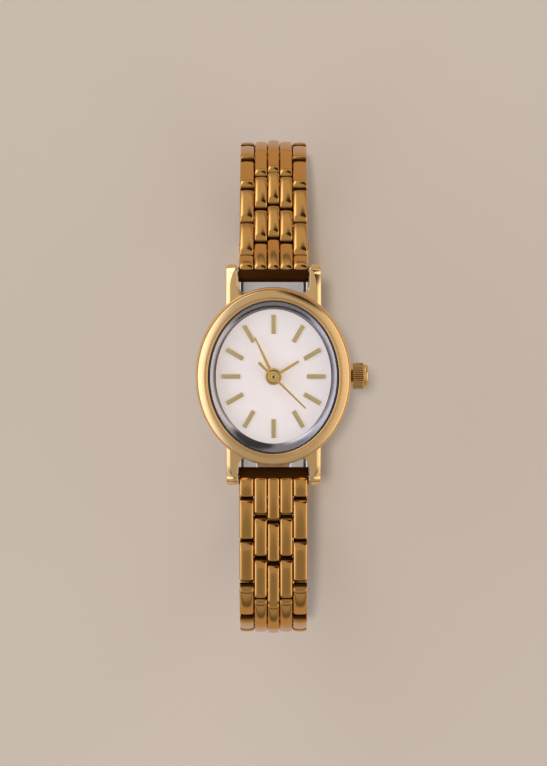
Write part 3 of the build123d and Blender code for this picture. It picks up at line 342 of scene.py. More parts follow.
# Gaskets: moulded rings of dark rubber that keep water out at the back and at the crown.
# They are pressed into their grooves, and the crystal has one more, which is made below.
rubber = Finish("gasket_rubber")
rubber.set(Base_Color=rubber.blend(rubber.noise(2600.0), (0.018, 0.016, 0.014, 1),
                                   (0.03, 0.027, 0.024, 1)),
           Roughness=0.55, Normal=rubber.bump(rubber.noise(7000.0), 0.1, 0.00002))


def coat_node(name, finish):
    """Gives a CAD node that stays its own finish."""
    node = frame["nodes"][name]
    node.data.materials.clear()
    node.data.materials.append(finish.material)


coat_node("back_gasket", rubber)
coat_node("crown_gasket", rubber)

# Bezel: a gold-plated oval ring snapped over the case. It is polished to a dome outside and
# steps over a narrow groove to a thin lip that stands round the crystal.
bezel_foot, bezel_seat, bezel_crest = 0.31 * mm, 4.15 * mm, 5.98 * mm
# from the foot over the dome, down the groove, over the lip and down the bore
bezel_outline = rounded([(bezel_foot, 5.62 * mm), (0.58 * mm, 5.745 * mm),
                         (0.92 * mm, 5.88 * mm), (1.25 * mm, bezel_crest),
                         (1.27 * mm, 5.62 * mm), (1.38 * mm, 5.62 * mm),
                         (1.39 * mm, 5.86 * mm), (1.64 * mm, 5.86 * mm), (bore_inset, 5.5 * mm),
                         (bore_inset, bezel_seat), (bezel_foot, bezel_seat)],
                        np.array([0.09, 0.15, 0.16, 0.07, 0.02, 0.02, 0.09, 0.09, 0.05, 0.02,
                                  0.05]) * mm, 9)
piece("bezel_dome", [oval_ring(bezel_outline, case_half_width, case_half_length, 320)], case_gold,
      "head", ["bezel"], sharp=0.9)

# Crystal: flat mineral glass with a small polished bevel, pressed into the bezel with a
# rubber ring round it. It is clear from above and mirrors the room at a slant.
glass = Finish("crystal_glass")
facing = glass.node("ShaderNodeLayerWeight", {}, {"Blend": 0.35}, output="Facing")
glass.set(Base_Color=(0.93, 0.96, 1.0, 1), Metallic=1.0, Roughness=0.03,
          Alpha=facing ** 6.0 * 0.6 + 0.02)
crystal_inset = bore_inset + 0.25 * mm
crystal_bottom, crystal_top, crystal_bevel = 5.21 * mm, 5.94 * mm, 0.12 * mm
piece("crystal_glass", [oval_disc(case_half_width - crystal_inset - 0.02 * mm,
                                  case_half_length - crystal_inset + 0.08 * mm,
                                  crystal_bottom, crystal_top, crystal_bevel)],
      glass, "head", ["crystal"])
gasket_width, gasket_bottom, gasket_top = 0.24 * mm, 5.2 * mm, 5.74 * mm
gasket_outline = rounded([(0.0, gasket_bottom), (0.0, gasket_top), (gasket_width, gasket_top),
                          (gasket_width, gasket_bottom)], 0.05 * mm)
piece("crystal_gasket_ring", [oval_ring(gasket_outline, case_half_width - bore_inset,
                                        10.0 * mm)],
      rubber, "head", ["crystal_gasket"])

# Ring round the dial: a thin stamped ring of grey metal that lies on the dial's edge. A
# facet and a steeper cone lead from the crystal's seat down to the dial.
ring_grey = Finish("ring_grey")
ring_tone = ring_grey.noise(420.0)
ring_grey.set(Base_Color=ring_grey.blend(ring_tone, (0.32, 0.28, 0.27, 1),
                                         (0.37, 0.33, 0.32, 1)),
              Metallic=1.0, Roughness=ring_tone * 0.04 + 0.05)
round_ring = np.linspace(0, 2 * np.pi, 256, endpoint=False)[:, None]
# corners of its section, from the outer foot up to the rim and down the facets to the dial
ring_width = np.array([8.42, 8.42, 8.26, 8.22, 7.95, 7.54, 7.5, 7.5, 7.6, 8.42]) * mm
ring_length = np.array([9.97, 9.97, 9.83, 9.79, 9.4, 8.8, 8.75, 8.75, 8.85, 9.97]) * mm
ring_height = np.array([3.9, 5.19, 5.19, 4.64, 4.48, 4.15, 4.1, 3.92, 3.9, 3.9]) * mm
ring_x, ring_y = ring_width * np.cos(round_ring), ring_length * np.sin(round_ring)
ring_grid = np.stack([ring_x, ring_y, np.broadcast_to(ring_height, ring_x.shape)], -1)
piece("dial_ring_cone", [(ring_grid, True, True)], ring_grey, "head", ["dial_ring"],
      sharp=0.3)

# Dial: a thin brass plate under pale pearl lacquer with a soft cloudy sheen. It lies on the
# movement and is pierced in the middle for the hands.
pearl = Finish("dial_pearl")
cloud = pearl.noise(420.0, 5.0)
fleck = pearl.noise(2600.0, 3.0)
pearl.set(Base_Color=pearl.blend(cloud * 0.7 + fleck * 0.3, (0.82, 0.72, 0.68, 1),
                                 (0.91, 0.835, 0.795, 1)),
          Roughness=fleck * 0.15 + 0.3, Coat_Weight=0.25, Coat_Roughness=0.1,
          Normal=pearl.bump(cloud, 0.05, 0.00005))
coat_node("dial", pearl)

# Hour markers: twelve slim batons of satin gold, all of one size, riveted to the dial through
# two feet each. They point to the middle, all at the same distance from the dial's edge.
marker_gold = polished_metal("marker_gold", (0.86, 0.68, 0.34, 1), (0.78, 0.6, 0.28, 1), 0.05,
                             0.01)
dial_half_width, dial_half_length, dial_top = 7.5 * mm, 8.75 * mm, 3.9 * mm
baton_half_width, baton_half_length, baton_half_height = 0.29 * mm, 1.225 * mm, 0.1 * mm
baton_inset = 1.97 * mm


def squared(wave, power):
    """A sine or cosine pressed towards a square wave: sign(w) |w|^(2/p)."""
    return np.sign(wave) * np.abs(wave) ** (2 / power)


def pillow(half_x, half_y, half_z, middle, turn, power_plan=40.0, power_side=18.0, around=36,
           rings=15):
    """Closed pillow: |x/a|^p + |y/b|^p = 1 in plan, shrinking to its top and bottom."""
    u = np.linspace(0, 2 * np.pi, around, endpoint=False)[None, :]
    v = np.linspace(-np.pi / 2, np.pi / 2, rings)[:, None]
    flat = squared(np.cos(v), power_side)
    x = half_x * flat * squared(np.cos(u), power_plan)
    y = half_y * flat * squared(np.sin(u), power_plan)
    z = half_z * squared(np.sin(v), power_side) * np.ones_like(u)
    c, s = np.cos(turn), np.sin(turn)
    return np.stack([middle[0] + c * x + s * y, middle[1] - s * x + c * y, middle[2] + z],
                    -1), False, True


marker_grids = []
for hour in range(12):
    angle = np.radians(30 * hour)
    edge = 1 / np.hypot(np.sin(angle) / dial_half_width, np.cos(angle) / dial_half_length)
    reach = edge - baton_inset
    middle = (reach * np.sin(angle), reach * np.cos(angle), dial_top + baton_half_height)
    marker_grids.append(pillow(baton_half_width, baton_half_length, baton_half_height, middle,
                               angle))
piece("hour_marker_batons", marker_grids, marker_gold, "head", ["hour_markers"])

# Hands: stamped from thin gold-plated brass and pressed on the centre, the hour hand lowest.
# Each has a round hub, and the seconds hand has a short tail.
hand_gold = polished_metal("hand_gold", (0.98, 0.66, 0.22, 1), (0.88, 0.56, 0.15, 1), 0.05,
                           0.02)
hand_thick = 0.12 * mm
hour_level, minute_level, second_level = 4.25 * mm, 4.6 * mm, 4.95 * mm
hour_angle, minute_angle, second_angle = np.radians((58.5, -25.2, 134.4))


def hand_blade(angle, level, root, tip, start, reach, stations=24, around=16):
    """Tapered blade: a flat section, |x/a|^10 + |z/b|^10 = 1, carried out to a round tip.

    Its width goes in a straight line from root at the centre to tip at its reach."""
    y = np.linspace(start, reach, stations)
    half = (root + (tip - root) * y / reach) / 2
    end = np.sqrt(1 - np.clip((y - (reach - tip / 2)) / (tip / 2), 0, 1) ** 2)
    u = np.linspace(0, 2 * np.pi, around, endpoint=False)
    x = (half * end)[:, None] * squared(np.cos(u), 10)
    z = level + hand_thick / 2 + hand_thick / 2 * squared(np.sin(u), 10) * np.ones_like(x)
    y = np.broadcast_to(y[:, None], x.shape)
    c, s = np.cos(angle), np.sin(angle)
    return closed_ends(np.stack([c * x + s * y, -s * x + c * y, z], -1)), False, True


def turned(profile, origin, axis, around=48):
    """A profile of (distance along the axis, radius) spun about the axis."""
    profile = np.array(profile, float)
    axis = np.array(axis, float) / np.linalg.norm(axis)
    side = np.cross(axis, (0.0, 0.0, 1.0) if abs(axis[2]) < 0.9 else (1.0, 0.0, 0.0))
    side /= np.linalg.norm(side)
    other = np.cross(axis, side)
    t = np.linspace(0, 2 * np.pi, around, endpoint=False)
    spoke = np.cos(t)[:, None] * side + np.sin(t)[:, None] * other
    return (np.array(origin) + profile[:, None, :1] * axis
            + profile[:, None, 1:] * spoke[None], False, True)


def hub(level, radius, bore, thick=hand_thick):
    """Low domed washer round the centre."""
    outline = rounded([(level, bore), (level, radius), (level + thick, radius),
                       (level + thick, bore)], [0.0, 0.02 * mm, 0.11 * mm, 0.03 * mm], 9)
    return turned(outline, (0, 0, 0), (0, 0, 1))[0], True, True


piece("hour_hand_blade",
      [hand_blade(hour_angle, hour_level, root=0.46 * mm, tip=0.3 * mm, start=0.8 * mm,
                  reach=3.9 * mm),
       hub(hour_level, radius=1.1 * mm, bore=0.66 * mm)],
      hand_gold, "hour_train", ["hour_hand"])
piece("minute_hand_blade",
      [hand_blade(minute_angle, minute_level, root=0.5 * mm, tip=0.2 * mm, start=0.6 * mm,
                  reach=5.8 * mm),
       hub(minute_level, radius=0.9 * mm, bore=0.42 * mm)],
      hand_gold, "minute_train", ["minute_hand"])
# A near-black metal that paints shade. A thin ring of it on the minute hub is painted shadow, the
# dark gap round the seconds hub. The end of the seconds arbor is a real part, but it is made as
# dark as the shade in its hole.
arbor_end = polished_metal("arbor_end", (0.10, 0.08, 0.06, 1), (0.06, 0.05, 0.04, 1), 0.3)
piece("minute_collet_ring",
      [hub(minute_level + 0.1 * mm, radius=0.88 * mm, bore=0.6 * mm, thick=0.08 * mm)],
      arbor_end, "minute_train")
piece("second_hand_blade",
      [hand_blade(second_angle, second_level, root=0.32 * mm, tip=0.2 * mm, start=0.4 * mm,
                  reach=5.95 * mm),
       hand_blade(second_angle + np.pi, second_level, root=0.3 * mm, tip=0.4 * mm,
                  start=0.4 * mm, reach=2.76 * mm),
       hub(second_level, radius=0.78 * mm, bore=0.16 * mm),
       hub(second_level + 0.06 * mm, radius=0.31 * mm, bore=0.16 * mm, thick=0.15 * mm)],
      hand_gold, "second_train", ["second_hand"])
arbor_low, arbor_high, arbor_radius = 5.072 * mm, 5.09 * mm, 0.15 * mm
piece("second_arbor_end", [turned([(arbor_low, 0.0), (arbor_low, arbor_radius),
                                   (arbor_high, arbor_radius), (arbor_high, 0.0)],
                                  (0, 0, 0), (0, 0, 1), 24)],
      arbor_end, "second_train")

# Movement: brass plates and wheels, a soft-iron motor with a copper coil, a steel button
# cell under its clamp and a green circuit board, all in a white plastic holder.
plain_brass = brushed_metal("movement_brass", (0.72, 0.60, 0.34, 1), (0.6, 0.49, 0.26, 1), 0.3)
motor_iron = brushed_metal("motor_iron", (0.36, 0.36, 0.37, 1), (0.27, 0.27, 0.28, 1), 0.38)
bright_steel = polished_metal("bright_steel", (0.62, 0.62, 0.63, 1), (0.52, 0.52, 0.53, 1), 0.2)
holder = Finish("holder_plastic")
holder.set(Base_Color=holder.blend(holder.noise(700.0), (0.70, 0.68, 0.63, 1),
                                   (0.80, 0.78, 0.74, 1)),
           Roughness=0.5, Normal=holder.bump(holder.noise(5000.0), 0.08, 0.00002))
winding = Finish("coil_copper")
turns = winding.node("ShaderNodeTexWave", {"bands_direction": "X"},
                     {"Vector": winding.place(), "Scale": 6000.0, "Distortion": 0.4},
                     output="Fac")
winding.set(Base_Color=winding.blend(turns, (0.28, 0.08, 0.03, 1), (0.66, 0.25, 0.1, 1)),
            Metallic=0.8, Roughness=0.35, Normal=winding.bump(turns, 0.5, 0.00003))
board = Finish("circuit_board")
board.set(Base_Color=board.blend(board.noise(3000.0), (0.015, 0.09, 0.04, 1),
                                 (0.03, 0.15, 0.07, 1)), Roughness=0.4)
for node in ("main_plate", "train_bridge", "second_wheel", "third_wheel", "centre_wheel",
             "minute_wheel", "hour_wheel", "intermediate_wheel"):
    coat_node(node, plain_brass)
for node in ("stator", "rotor"):
    coat_node(node, motor_iron)
for node in ("battery", "battery_clamp", "stem", "setting_lever"):
    coat_node(node, bright_steel)
coat_node("movement_holder", holder)
coat_node("coil", winding)
coat_node("circuit_block", board)

# Crown: gold-plated, cut with straight flutes for grip, with a smooth raised cap. It is
# screwed on the stem and slides over a short tube that is pressed into the case.
crown_gold = polished_metal("crown_gold", (0.86, 0.55, 0.22, 1), (0.74, 0.45, 0.16, 1), 0.26)
stem_height = 2.62 * mm
crown_start = 10.35 * mm
flutes, flute_depth = 40, 0.11 * mm
# distance from the case, radius and share of the flutes' depth, from the case to the cap
crown_along = np.array([0.0, 0.0, 0.0, 0.04, 0.3, 0.7, 1.1, 1.3, 1.37, 1.42, 1.46, 1.5, 1.56,
                        1.75, 1.9, 1.97, 2.0, 2.0, 2.0]) * mm
crown_radius = np.array([0.0, 1.0, 1.66, 1.72, 1.72, 1.72, 1.72, 1.71, 1.66, 1.55, 1.44, 1.43,
                         1.46, 1.46, 1.4, 1.3, 1.18, 0.6, 0.0]) * mm
flute_share = np.array([0, 0, 0.2, 1, 1, 1, 1, 1, 0.8, 0.3, 0, 0, 0, 0, 0, 0, 0, 0, 0])
round_crown = np.linspace(0, 2 * np.pi, flutes * 8, endpoint=False)
groove = 0.5 + 0.5 * np.cos(flutes * round_crown)
spin = crown_radius[:, None] - (flute_share * flute_depth)[:, None] * groove[None, :]
# painted shade in the flutes: 1 on the crests and the smooth parts, 0 at the bottom of a groove
crown_flute_shade = np.clip(1.0 - flute_share[:, None] * groove[None, :], 0, 1)
crown_grid = np.stack([np.broadcast_to((crown_start + crown_along)[:, None], spin.shape),
                       spin * np.cos(round_crown), stem_height + spin * np.sin(round_crown)], -1)
# Shade is painted into the flutes: the colour darkens to brown towards the bottom of each groove.
painted_flute_shade = crown_gold.node("ShaderNodeAttribute", {"attribute_name": "rise"}, output="Fac")
crown_gold.set(Base_Color=crown_gold.blend(painted_flute_shade, (0.24, 0.11, 0.03, 1), (0.84, 0.52, 0.2, 1)))
piece("crown_fluted", [(crown_grid, False, True)], crown_gold, "crown_stem", ["crown"],
      sharp=0.7, rise=crown_flute_shade.ravel())
tube_start, tube_end = 8.5 * mm, 10.72 * mm
tube_bore, tube_radius = 0.42 * mm, 0.79 * mm
tube = rounded([(tube_start, tube_bore), (tube_start, tube_radius), (tube_end, tube_radius),
                (tube_end, tube_bore)], 0.04 * mm)
tube_grid = turned(tube, (0, 0, stem_height), (1, 0, 0))[0]
piece("crown_tube_sleeve", [(tube_grid, True, True)], crown_gold, "head", ["crown_tube"])

# Spring bars: thin steel tubes between the horns, which carry the end links of the bracelet.
# Each has a shouldered, sprung tip at both ends, which clicks into a hole in its horn.
# distance from the middle and radius, from the tip past the shoulder and a groove
half_spring_bar = [(5.3, 0.0), (5.3, 0.3), (4.62, 0.33), (4.6, 0.6), (4.4, 0.6), (4.38, 0.45),
                   (4.3, 0.45), (4.28, 0.6)]
spring_bar = np.array([(-along, radius) for along, radius in half_spring_bar]
                      + half_spring_bar[::-1]) * mm
for node, side in (("twelve_spring_bar", 1), ("six_spring_bar", -1)):
    piece(node + "_turned", [turned(spring_bar, (0, side * lug_centre, lug_height), (1, 0, 0))],
          motor_iron, "head", [node], sharp=0.5)

# Bracelet links: each is five solid bars brazed side by side, the inner three reaching on
# past the outer two. The inner bars end in a barrel that a pin joins to the next link.
# The bracelet's gold has shade painted in: low on the bars' sides between them, on the web behind
# them, on the barrels and on the end links' rolls it turns near black and rougher.
bracelet_gold = Finish("bracelet_gold")
rise = bracelet_gold.node("ShaderNodeAttribute", {"attribute_name": "rise"}, output="Fac")
drift = bracelet_gold.noise(300.0)
lines = bracelet_gold.noise(6000.0, 2.0, (1.0, 0.15, 1.0))
skin = bracelet_gold.blend(drift, (0.65, 0.325, 0.085, 1), (0.73, 0.385, 0.11, 1))
# depth is the share of painted light: 0 where the shade is painted darkest, 1 on the bars' tops
depth = bracelet_gold.node("ShaderNodeMapRange", {"interpolation_type": "SMOOTHSTEP"},
                           {"Value": rise, "From Min": 0.1, "From Max": 0.9})
bracelet_gold.set(Base_Color=bracelet_gold.blend(depth, (0.06, 0.02, 0.003, 1), skin),
                  Metallic=1.0, Roughness=lines * 0.03 + 0.62 - depth * 0.53,
                  Normal=bracelet_gold.bump(bracelet_gold.noise(800.0, 1.0), 0.06, 0.00005))

link_pitch, end_pitch = 5.6 * mm, 4.0 * mm
half_thick, knuckle = 0.9 * mm, 1.05 * mm
gap, tip_reach = 0.2 * mm, 1.75 * mm
outer_edges, inner_edges = (2.6 * mm, 4.5 * mm), (0.84 * mm, 2.54 * mm)
centre_half, near_round = 0.79 * mm, 1.1 * mm
end_overlap, back_depth = 0.2 * mm, 0.82 * mm
far_fullness = 2.6


def bar(x_from, x_to, y_from, y_to, near, far, corner_near, corner_far, top=half_thick,
        bottom=-half_thick, camber=0.16, dome=0.13, power=7.0, stations=40, around=52):
    """One bar of a link: a rounded section carried along it.

    Its top is a low dome both across and along. Its height falls to nothing at each end
    along a curve of the given length, a quarter circle near the hinge and a fuller one at
    the far end, and its width draws in there by the corner radius."""
    length = y_to - y_from
    s = (1 - np.cos(np.linspace(0, np.pi, stations))) / 2
    y = y_from + length * (0.35 * s + 0.65 * (1 - np.cos(np.pi * s)) / 2)
    near_share = np.clip(1 - (y - y_from) / near, 0, 1)
    far_share = np.clip(1 - (y_to - y) / far, 0, 1)
    height = (np.sqrt(1 - near_share ** 2)
              * (1 - far_share ** far_fullness) ** (1 / far_fullness))
    near_corner = np.clip(1 - (y - y_from) / corner_near, 0, 1)
    far_corner = np.clip(1 - (y_to - y) / corner_far, 0, 1)
    draw_in = (corner_near * (1 - np.sqrt(1 - near_corner ** 2))
               + corner_far * (1 - np.sqrt(1 - far_corner ** 2)))
    arch = 1 - camber * (2 * (y - y_from) / length - 1) ** 2
    u = np.linspace(0, 2 * np.pi, around, endpoint=False)
    across, up = squared(np.cos(u), power), squared(np.sin(u), power)
    half = ((x_to - x_from) / 2 - draw_in)[:, None]
    x = (x_from + x_to) / 2 + half * across
    crown = arch[:, None] - dome * across ** 2
    z = np.where(up > 0, top * crown, -bottom) * height[:, None] * up
    return np.stack([x, np.broadcast_to(y[:, None], x.shape), z], -1), False, True


def pin_outline(half, radius, end_radius, chamfer):
    """Outline of a pin, (along, radius): straight between two ends that narrow over a chamfer."""
    return [(-half, 0.0), (-half, end_radius), (chamfer - half, radius),
            (half - chamfer, radius), (half, end_radius), (half, 0.0)]


def link_grids(pitch, is_end):
    """The bars, the web behind them and the pin of one link, in its own frame.

    X runs across the link and Y from its hinge to the next one. The web carries the bars, and
    the knuckle is the barrel that the next link turns on. Thin lips close the gaps between
    two rows from behind. An end link has a roll round the spring bar instead of a pin."""
    outer_end = pitch - knuckle - gap
    outer_start = -end_overlap if is_end else -knuckle
    inner_start = -end_overlap if is_end else knuckle + gap + 0.12 * mm
    centre_start = -end_overlap if is_end else tip_reach + gap + 0.14 * mm
    shapes = []
    for side in (-1, 1):
        edges = sorted((side * outer_edges[0], side * outer_edges[1]))
        shapes.append(bar(*edges, outer_start, outer_end, near=near_round, far=0.3 * mm,
                          corner_near=0.15 * mm, corner_far=0.34 * mm))
        edges = sorted((side * inner_edges[0], side * inner_edges[1]))
        shapes.append(bar(*edges, inner_start, pitch + knuckle, near=near_round, far=0.55 * mm,
                          corner_near=0.2 * mm, corner_far=0.36 * mm))
    shapes.append(bar(-centre_half, centre_half, centre_start, pitch + tip_reach,
                      near=near_round, far=0.4 * mm, corner_near=0.2 * mm,
                      corner_far=0.42 * mm))
    flat = {"camber": 0.0, "dome": 0.0, "power": 8.0}
    web_start = -0.6 * mm if is_end else knuckle + gap + 0.15 * mm
    for x_from, x_to, start in ((-2.9, -0.84, web_start), (0.84, 2.9, web_start),
                                (-0.9, 0.9, web_start if is_end else centre_start)):
        shapes.append(bar(x_from * mm, x_to * mm, start, outer_end - 0.15 * mm, near=0.3 * mm,
                          far=0.2 * mm, corner_near=0.1 * mm, corner_far=0.1 * mm,
                          top=0.1 * mm, bottom=-back_depth, **flat))
    shapes.append(bar(-2.58 * mm, 2.58 * mm, pitch - knuckle, pitch + knuckle, near=knuckle,
                      far=knuckle, corner_near=0.05 * mm, corner_far=0.05 * mm, top=0.2 * mm,
                      bottom=-0.85 * mm, **flat))
    # the lips: middle, half width, start and end
    lips = [(side * 3.52 * mm, 0.9 * mm, outer_end - 0.3 * mm, pitch - 0.86 * mm)
            for side in (-1, 1)]
    if not is_end:
        lips += [(side * 1.68 * mm, 0.82 * mm, knuckle + 0.08 * mm, web_start + 0.2 * mm)
                 for side in (-1, 1)]
        lips.append((0.0, 0.78 * mm, tip_reach + 0.08 * mm, centre_start + 0.2 * mm))
    for x, half_x, start, end in lips:
        shapes.append(pillow(half_x, (end - start) / 2, 0.07 * mm,
                             (x, (start + end) / 2, -back_depth), 0.0, 40.0, 8.0))
    if is_end:
        u = np.linspace(-np.pi, np.pi, 48, endpoint=False) - np.pi / 2
        roll_y = 1.18 * mm * squared(np.cos(u), 2.5)
        roll_z = 0.72 * mm * squared(np.sin(u), 2.5) - 0.12 * mm
        place = np.array([-4.64, -4.6, -4.5, 4.5, 4.6, 4.64])[:, None] * mm
        shrink = np.array([0.0, 0.93, 1.0, 1.0, 0.93, 0.0])[:, None]
        grid = np.stack([np.broadcast_to(place, (6, 48)), shrink * roll_y, shrink * roll_z], -1)
        shapes.append((grid, False, True))
    else:
        shapes.append(turned(pin_outline(4.49 * mm, 0.36 * mm, 0.3 * mm, 0.04 * mm),
                             (0, 0, 0), (1, 0, 0), 24))
    return shapes


# heights on a link between which the painted shade fades out, and the half width beyond which none
# is painted
shaded_below, lit_above, side_edge = 0.2 * mm, 0.6 * mm, 4.4 * mm


def to_frame(shapes, origin, along, across, is_end):
    """Places a link's shapes at its hinge and gives each vertex its share of painted light.

    It goes from 0 low between the bars, where shade is painted darkest, to 1 on their tops.
    The back and the outer sides have 1, and the roll of an end link, the last shape, has 0: it
    is painted in shade all over."""
    out = np.cross(across, along)
    placed, painted_shade_shares = [], []
    for grid, wrap_rows, wrap_columns in shapes:
        spot = (np.array(origin) + grid[..., :1] * across + grid[..., 1:2] * along
                + grid[..., 2:] * out)
        placed.append((spot, wrap_rows, wrap_columns))
        x, z = grid[..., 0], grid[..., 2]
        rise = np.where((z < -0.7 * half_thick) | (np.abs(x) > side_edge), 1.0,
                        (z - shaded_below) / (lit_above - shaded_below))
        painted_shade_shares.append(np.clip(rise, 0, 1).ravel())
    # the end link's roll is painted all in shade
    if is_end:
        painted_shade_shares[-1] = np.zeros_like(painted_shade_shares[-1])
    return placed, np.concatenate(painted_shade_shares)


hinge = {joint["name"]: np.array(joint["pos_m"]) for joint in frame["joints"]
         if "pos_m" in joint}
clasp_bar = np.array(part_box("six_spring_bar_clasp")).mean(0)
for side_name, side, count, last in (("twelve", 1, 8, hinge["cover_hinge"]),
                                     ("six", -1, 9, clasp_bar)):
    places = [hinge[side_name + "_end_hinge"]]
    places += [hinge[f"{side_name}_hinge_{number}"] for number in range(1, count + 1)]
    places.append(last)
    across = np.array((side, 0.0, 0.0))
    for number in range(count + 1):
        along = places[number + 1] - places[number]
        along /= np.linalg.norm(along)
        node = side_name + ("_end_link" if number == 0 else f"_link_{number}")
        body = side_name + ("_end" if number == 0 else f"_{number}")
        shapes = link_grids(end_pitch if number == 0 else link_pitch, number == 0)
        placed, painted_shade_shares = to_frame(shapes, places[number], along, across, number == 0)
        piece(node + "_bars", placed, bracelet_gold, body, [node], 0.7, painted_shade_shares)

# Clasp cover: a folded channel of gold-plated sheet that hides the two blades. Its side
# walls carry the spring bar of the last link and the pin of the middle blade.
clasp_gold = polished_metal("clasp_gold", (0.84, 0.54, 0.2, 1), (0.74, 0.46, 0.16, 1), 0.2)
cover_at = hinge["cover_hinge"]
clasp_length = abs(cover_at[1] - clasp_bar[1])
blade_end = hinge["middle_blade_hinge"]
blade_fold = hinge["inner_blade_hinge"]
cover_half, cover_wall, cover_sheet = 4.97 * mm, 0.32 * mm, 0.5 * mm
cover_floor, cover_rim = 2.05 * mm, -0.9 * mm
cover_slope = 1.3 * mm


def in_clasp(grid):
    """Turns the clasp's own frame, Y towards the 6 side and Z down, into the row's."""
    points, wrap_rows, wrap_columns = grid
    placed = np.stack([points[..., 0], cover_at[1] - points[..., 1], cover_at[2] - points[..., 2]],
                      -1)
    return placed, wrap_rows, wrap_columns


def channel(start, end, stations=40):
    """The cover: a rounded channel section carried along it, its walls low at both ends."""
    inner = cover_half - cover_wall
    section = rounded([(-cover_half, cover_rim), (-cover_half, cover_floor + cover_sheet),
                       (cover_half, cover_floor + cover_sheet), (cover_half, cover_rim),
                       (inner, cover_rim), (inner, cover_floor), (-inner, cover_floor),
                       (-inner, cover_rim)],
                      [0.15 * mm, 0.4 * mm, 0.4 * mm, 0.15 * mm, 0.15 * mm, 0.3 * mm, 0.3 * mm,
                       0.15 * mm], 7)
    s = (1 - np.cos(np.linspace(0, np.pi, stations))) / 2
    y = start + (end - start) * s
    from_end = np.minimum(y - start, end - y)
    drop = cover_slope * (1 - np.sqrt(1 - np.clip(1 - from_end / cover_slope, 0, 1) ** 2))
    x = np.broadcast_to(section[None, :, 0], (stations, len(section)))
    z = np.maximum(section[None, :, 1], np.where(section[None, :, 1] < cover_floor - 0.31 * mm,
                                                 cover_rim + drop[:, None], -1.0))
    grid = np.stack([x, np.broadcast_to(y[:, None], x.shape), z], -1)
    return grid, False, True


def end_caps(grid):
    """Closes both ends of a carried section with a flat fan to its middle line."""
    points, wrap_rows, wrap_columns = grid
    mirror = points[:, ::-1]
    first = (points[:1] + mirror[:1]) / 2
    last = (points[-1:] + mirror[-1:]) / 2
    return np.concatenate([first, points, last]), wrap_rows, wrap_columns


cover_start, cover_end = -0.9 * mm, clasp_length - 3.03 * mm
cover_grid = end_caps(channel(cover_start, cover_end))
outside = ((np.abs(cover_grid[0][..., 0]) > cover_half - 0.12 * mm)
           | (cover_grid[0][..., 2] > cover_floor + 0.05 * mm)).astype(float)
plated = clasp_gold.node("ShaderNodeAttribute", {"attribute_name": "rise"}, output="Fac")
clasp_gold.set(Base_Color=clasp_gold.blend(plated, (0.8, 0.77, 0.72, 1), (0.8, 0.5, 0.18, 1)))
piece("clasp_cover_channel", [in_clasp(cover_grid)], clasp_gold, "cover", ["clasp_cover"],
      rise=outside.ravel())
for node, place, radius, body, half in (
        ("clasp_cover_pin", blade_end, 0.24 * mm, "cover", 4.95 * mm),
        ("clasp_spring_bar", cover_at, 0.4 * mm, "cover", 4.95 * mm),
        ("clasp_blade_pin", blade_fold, 0.24 * mm, "middle_blade", 4.3 * mm),
        ("six_spring_bar_clasp", clasp_bar, 0.4 * mm, "six_9", 4.3 * mm)):
    pin = pin_outline(half, radius, 0.7 * radius, 0.08 * mm)
    piece(node + "_turned", [turned(pin, place, (1, 0, 0), 32)], bright_steel, body, [node])

# Clasp blades: two springy strips of brushed steel, each with a long window, folded one
# over the other. The middle one turns on the cover, the inner one snaps over the last bar.
blade_steel = brushed_metal("blade_steel", (0.84, 0.81, 0.76, 1), (0.78, 0.75, 0.70, 1), 0.42)
blade_half, rail, half_sheet = 4.3 * mm, 1.9 * mm, 0.25 * mm


def frame_plate(start, end, depth, window_start, window_end, around=120):
    """A strip with a long window: a rounded section carried round between two outlines.

    Both outlines are |x/a|^p + |y/b|^q = 1, and the section goes from the outer one to the
    window's and back below."""
    t = np.linspace(0, 2 * np.pi, around, endpoint=False)
    outer = np.stack([blade_half * squared(np.cos(t), 14), (start + end) / 2
                      + (end - start) / 2 * squared(np.sin(t), 40)], -1)
    inner = np.stack([(blade_half - rail) * squared(np.cos(t), 8), (window_start + window_end) / 2
                      + (window_end - window_start) / 2 * squared(np.sin(t), 24)], -1)
    turn = np.linspace(0, 2 * np.pi, 20, endpoint=False)
    share = 0.5 - 0.5 * squared(np.cos(turn), 12)[None, :, None]
    height = depth + half_sheet * squared(np.sin(turn), 5)
    flat = outer[:, None] * (1 - share) + inner[:, None] * share
    height = np.broadcast_to(height[None, :, None], (around, len(turn), 1))
    return np.concatenate([flat, height], -1), True, True


fold_y, end_y = cover_at[1] - blade_fold[1], cover_at[1] - blade_end[1]
fold_z, end_z = cover_at[2] - blade_fold[2], cover_at[2] - blade_end[2]
window = (fold_y + 4.0 * mm, end_y - 4.0 * mm)


def knuckle_tube(y, z, x_from, x_to):
    """Rolled hinge barrel between two places across the blade."""
    half = (x_to - x_from) / 2
    outline = pin_outline(half, 0.45 * mm, 0.4 * mm, 0.05 * half)
    return turned(outline, ((x_from + x_to) / 2, y, z), (1, 0, 0), 32)


middle_plate = frame_plate(fold_y + 0.55 * mm, end_y - 0.3 * mm, end_z, *window)
middle_grids = [middle_plate, knuckle_tube(end_y, end_z, -blade_half, blade_half)]
for side in (-1, 1):
    edges = sorted((side * 2.3 * mm, side * blade_half))
    middle_grids.append(knuckle_tube(fold_y, fold_z, *edges))
    middle_grids.append(pillow(1.0 * mm, 0.6 * mm, half_sheet,
                               (side * 3.3 * mm, fold_y + 0.45 * mm, end_z), 0.0))
piece("middle_blade_strip", [in_clasp(grid) for grid in middle_grids], blade_steel,
      "middle_blade", ["clasp_middle_blade"])

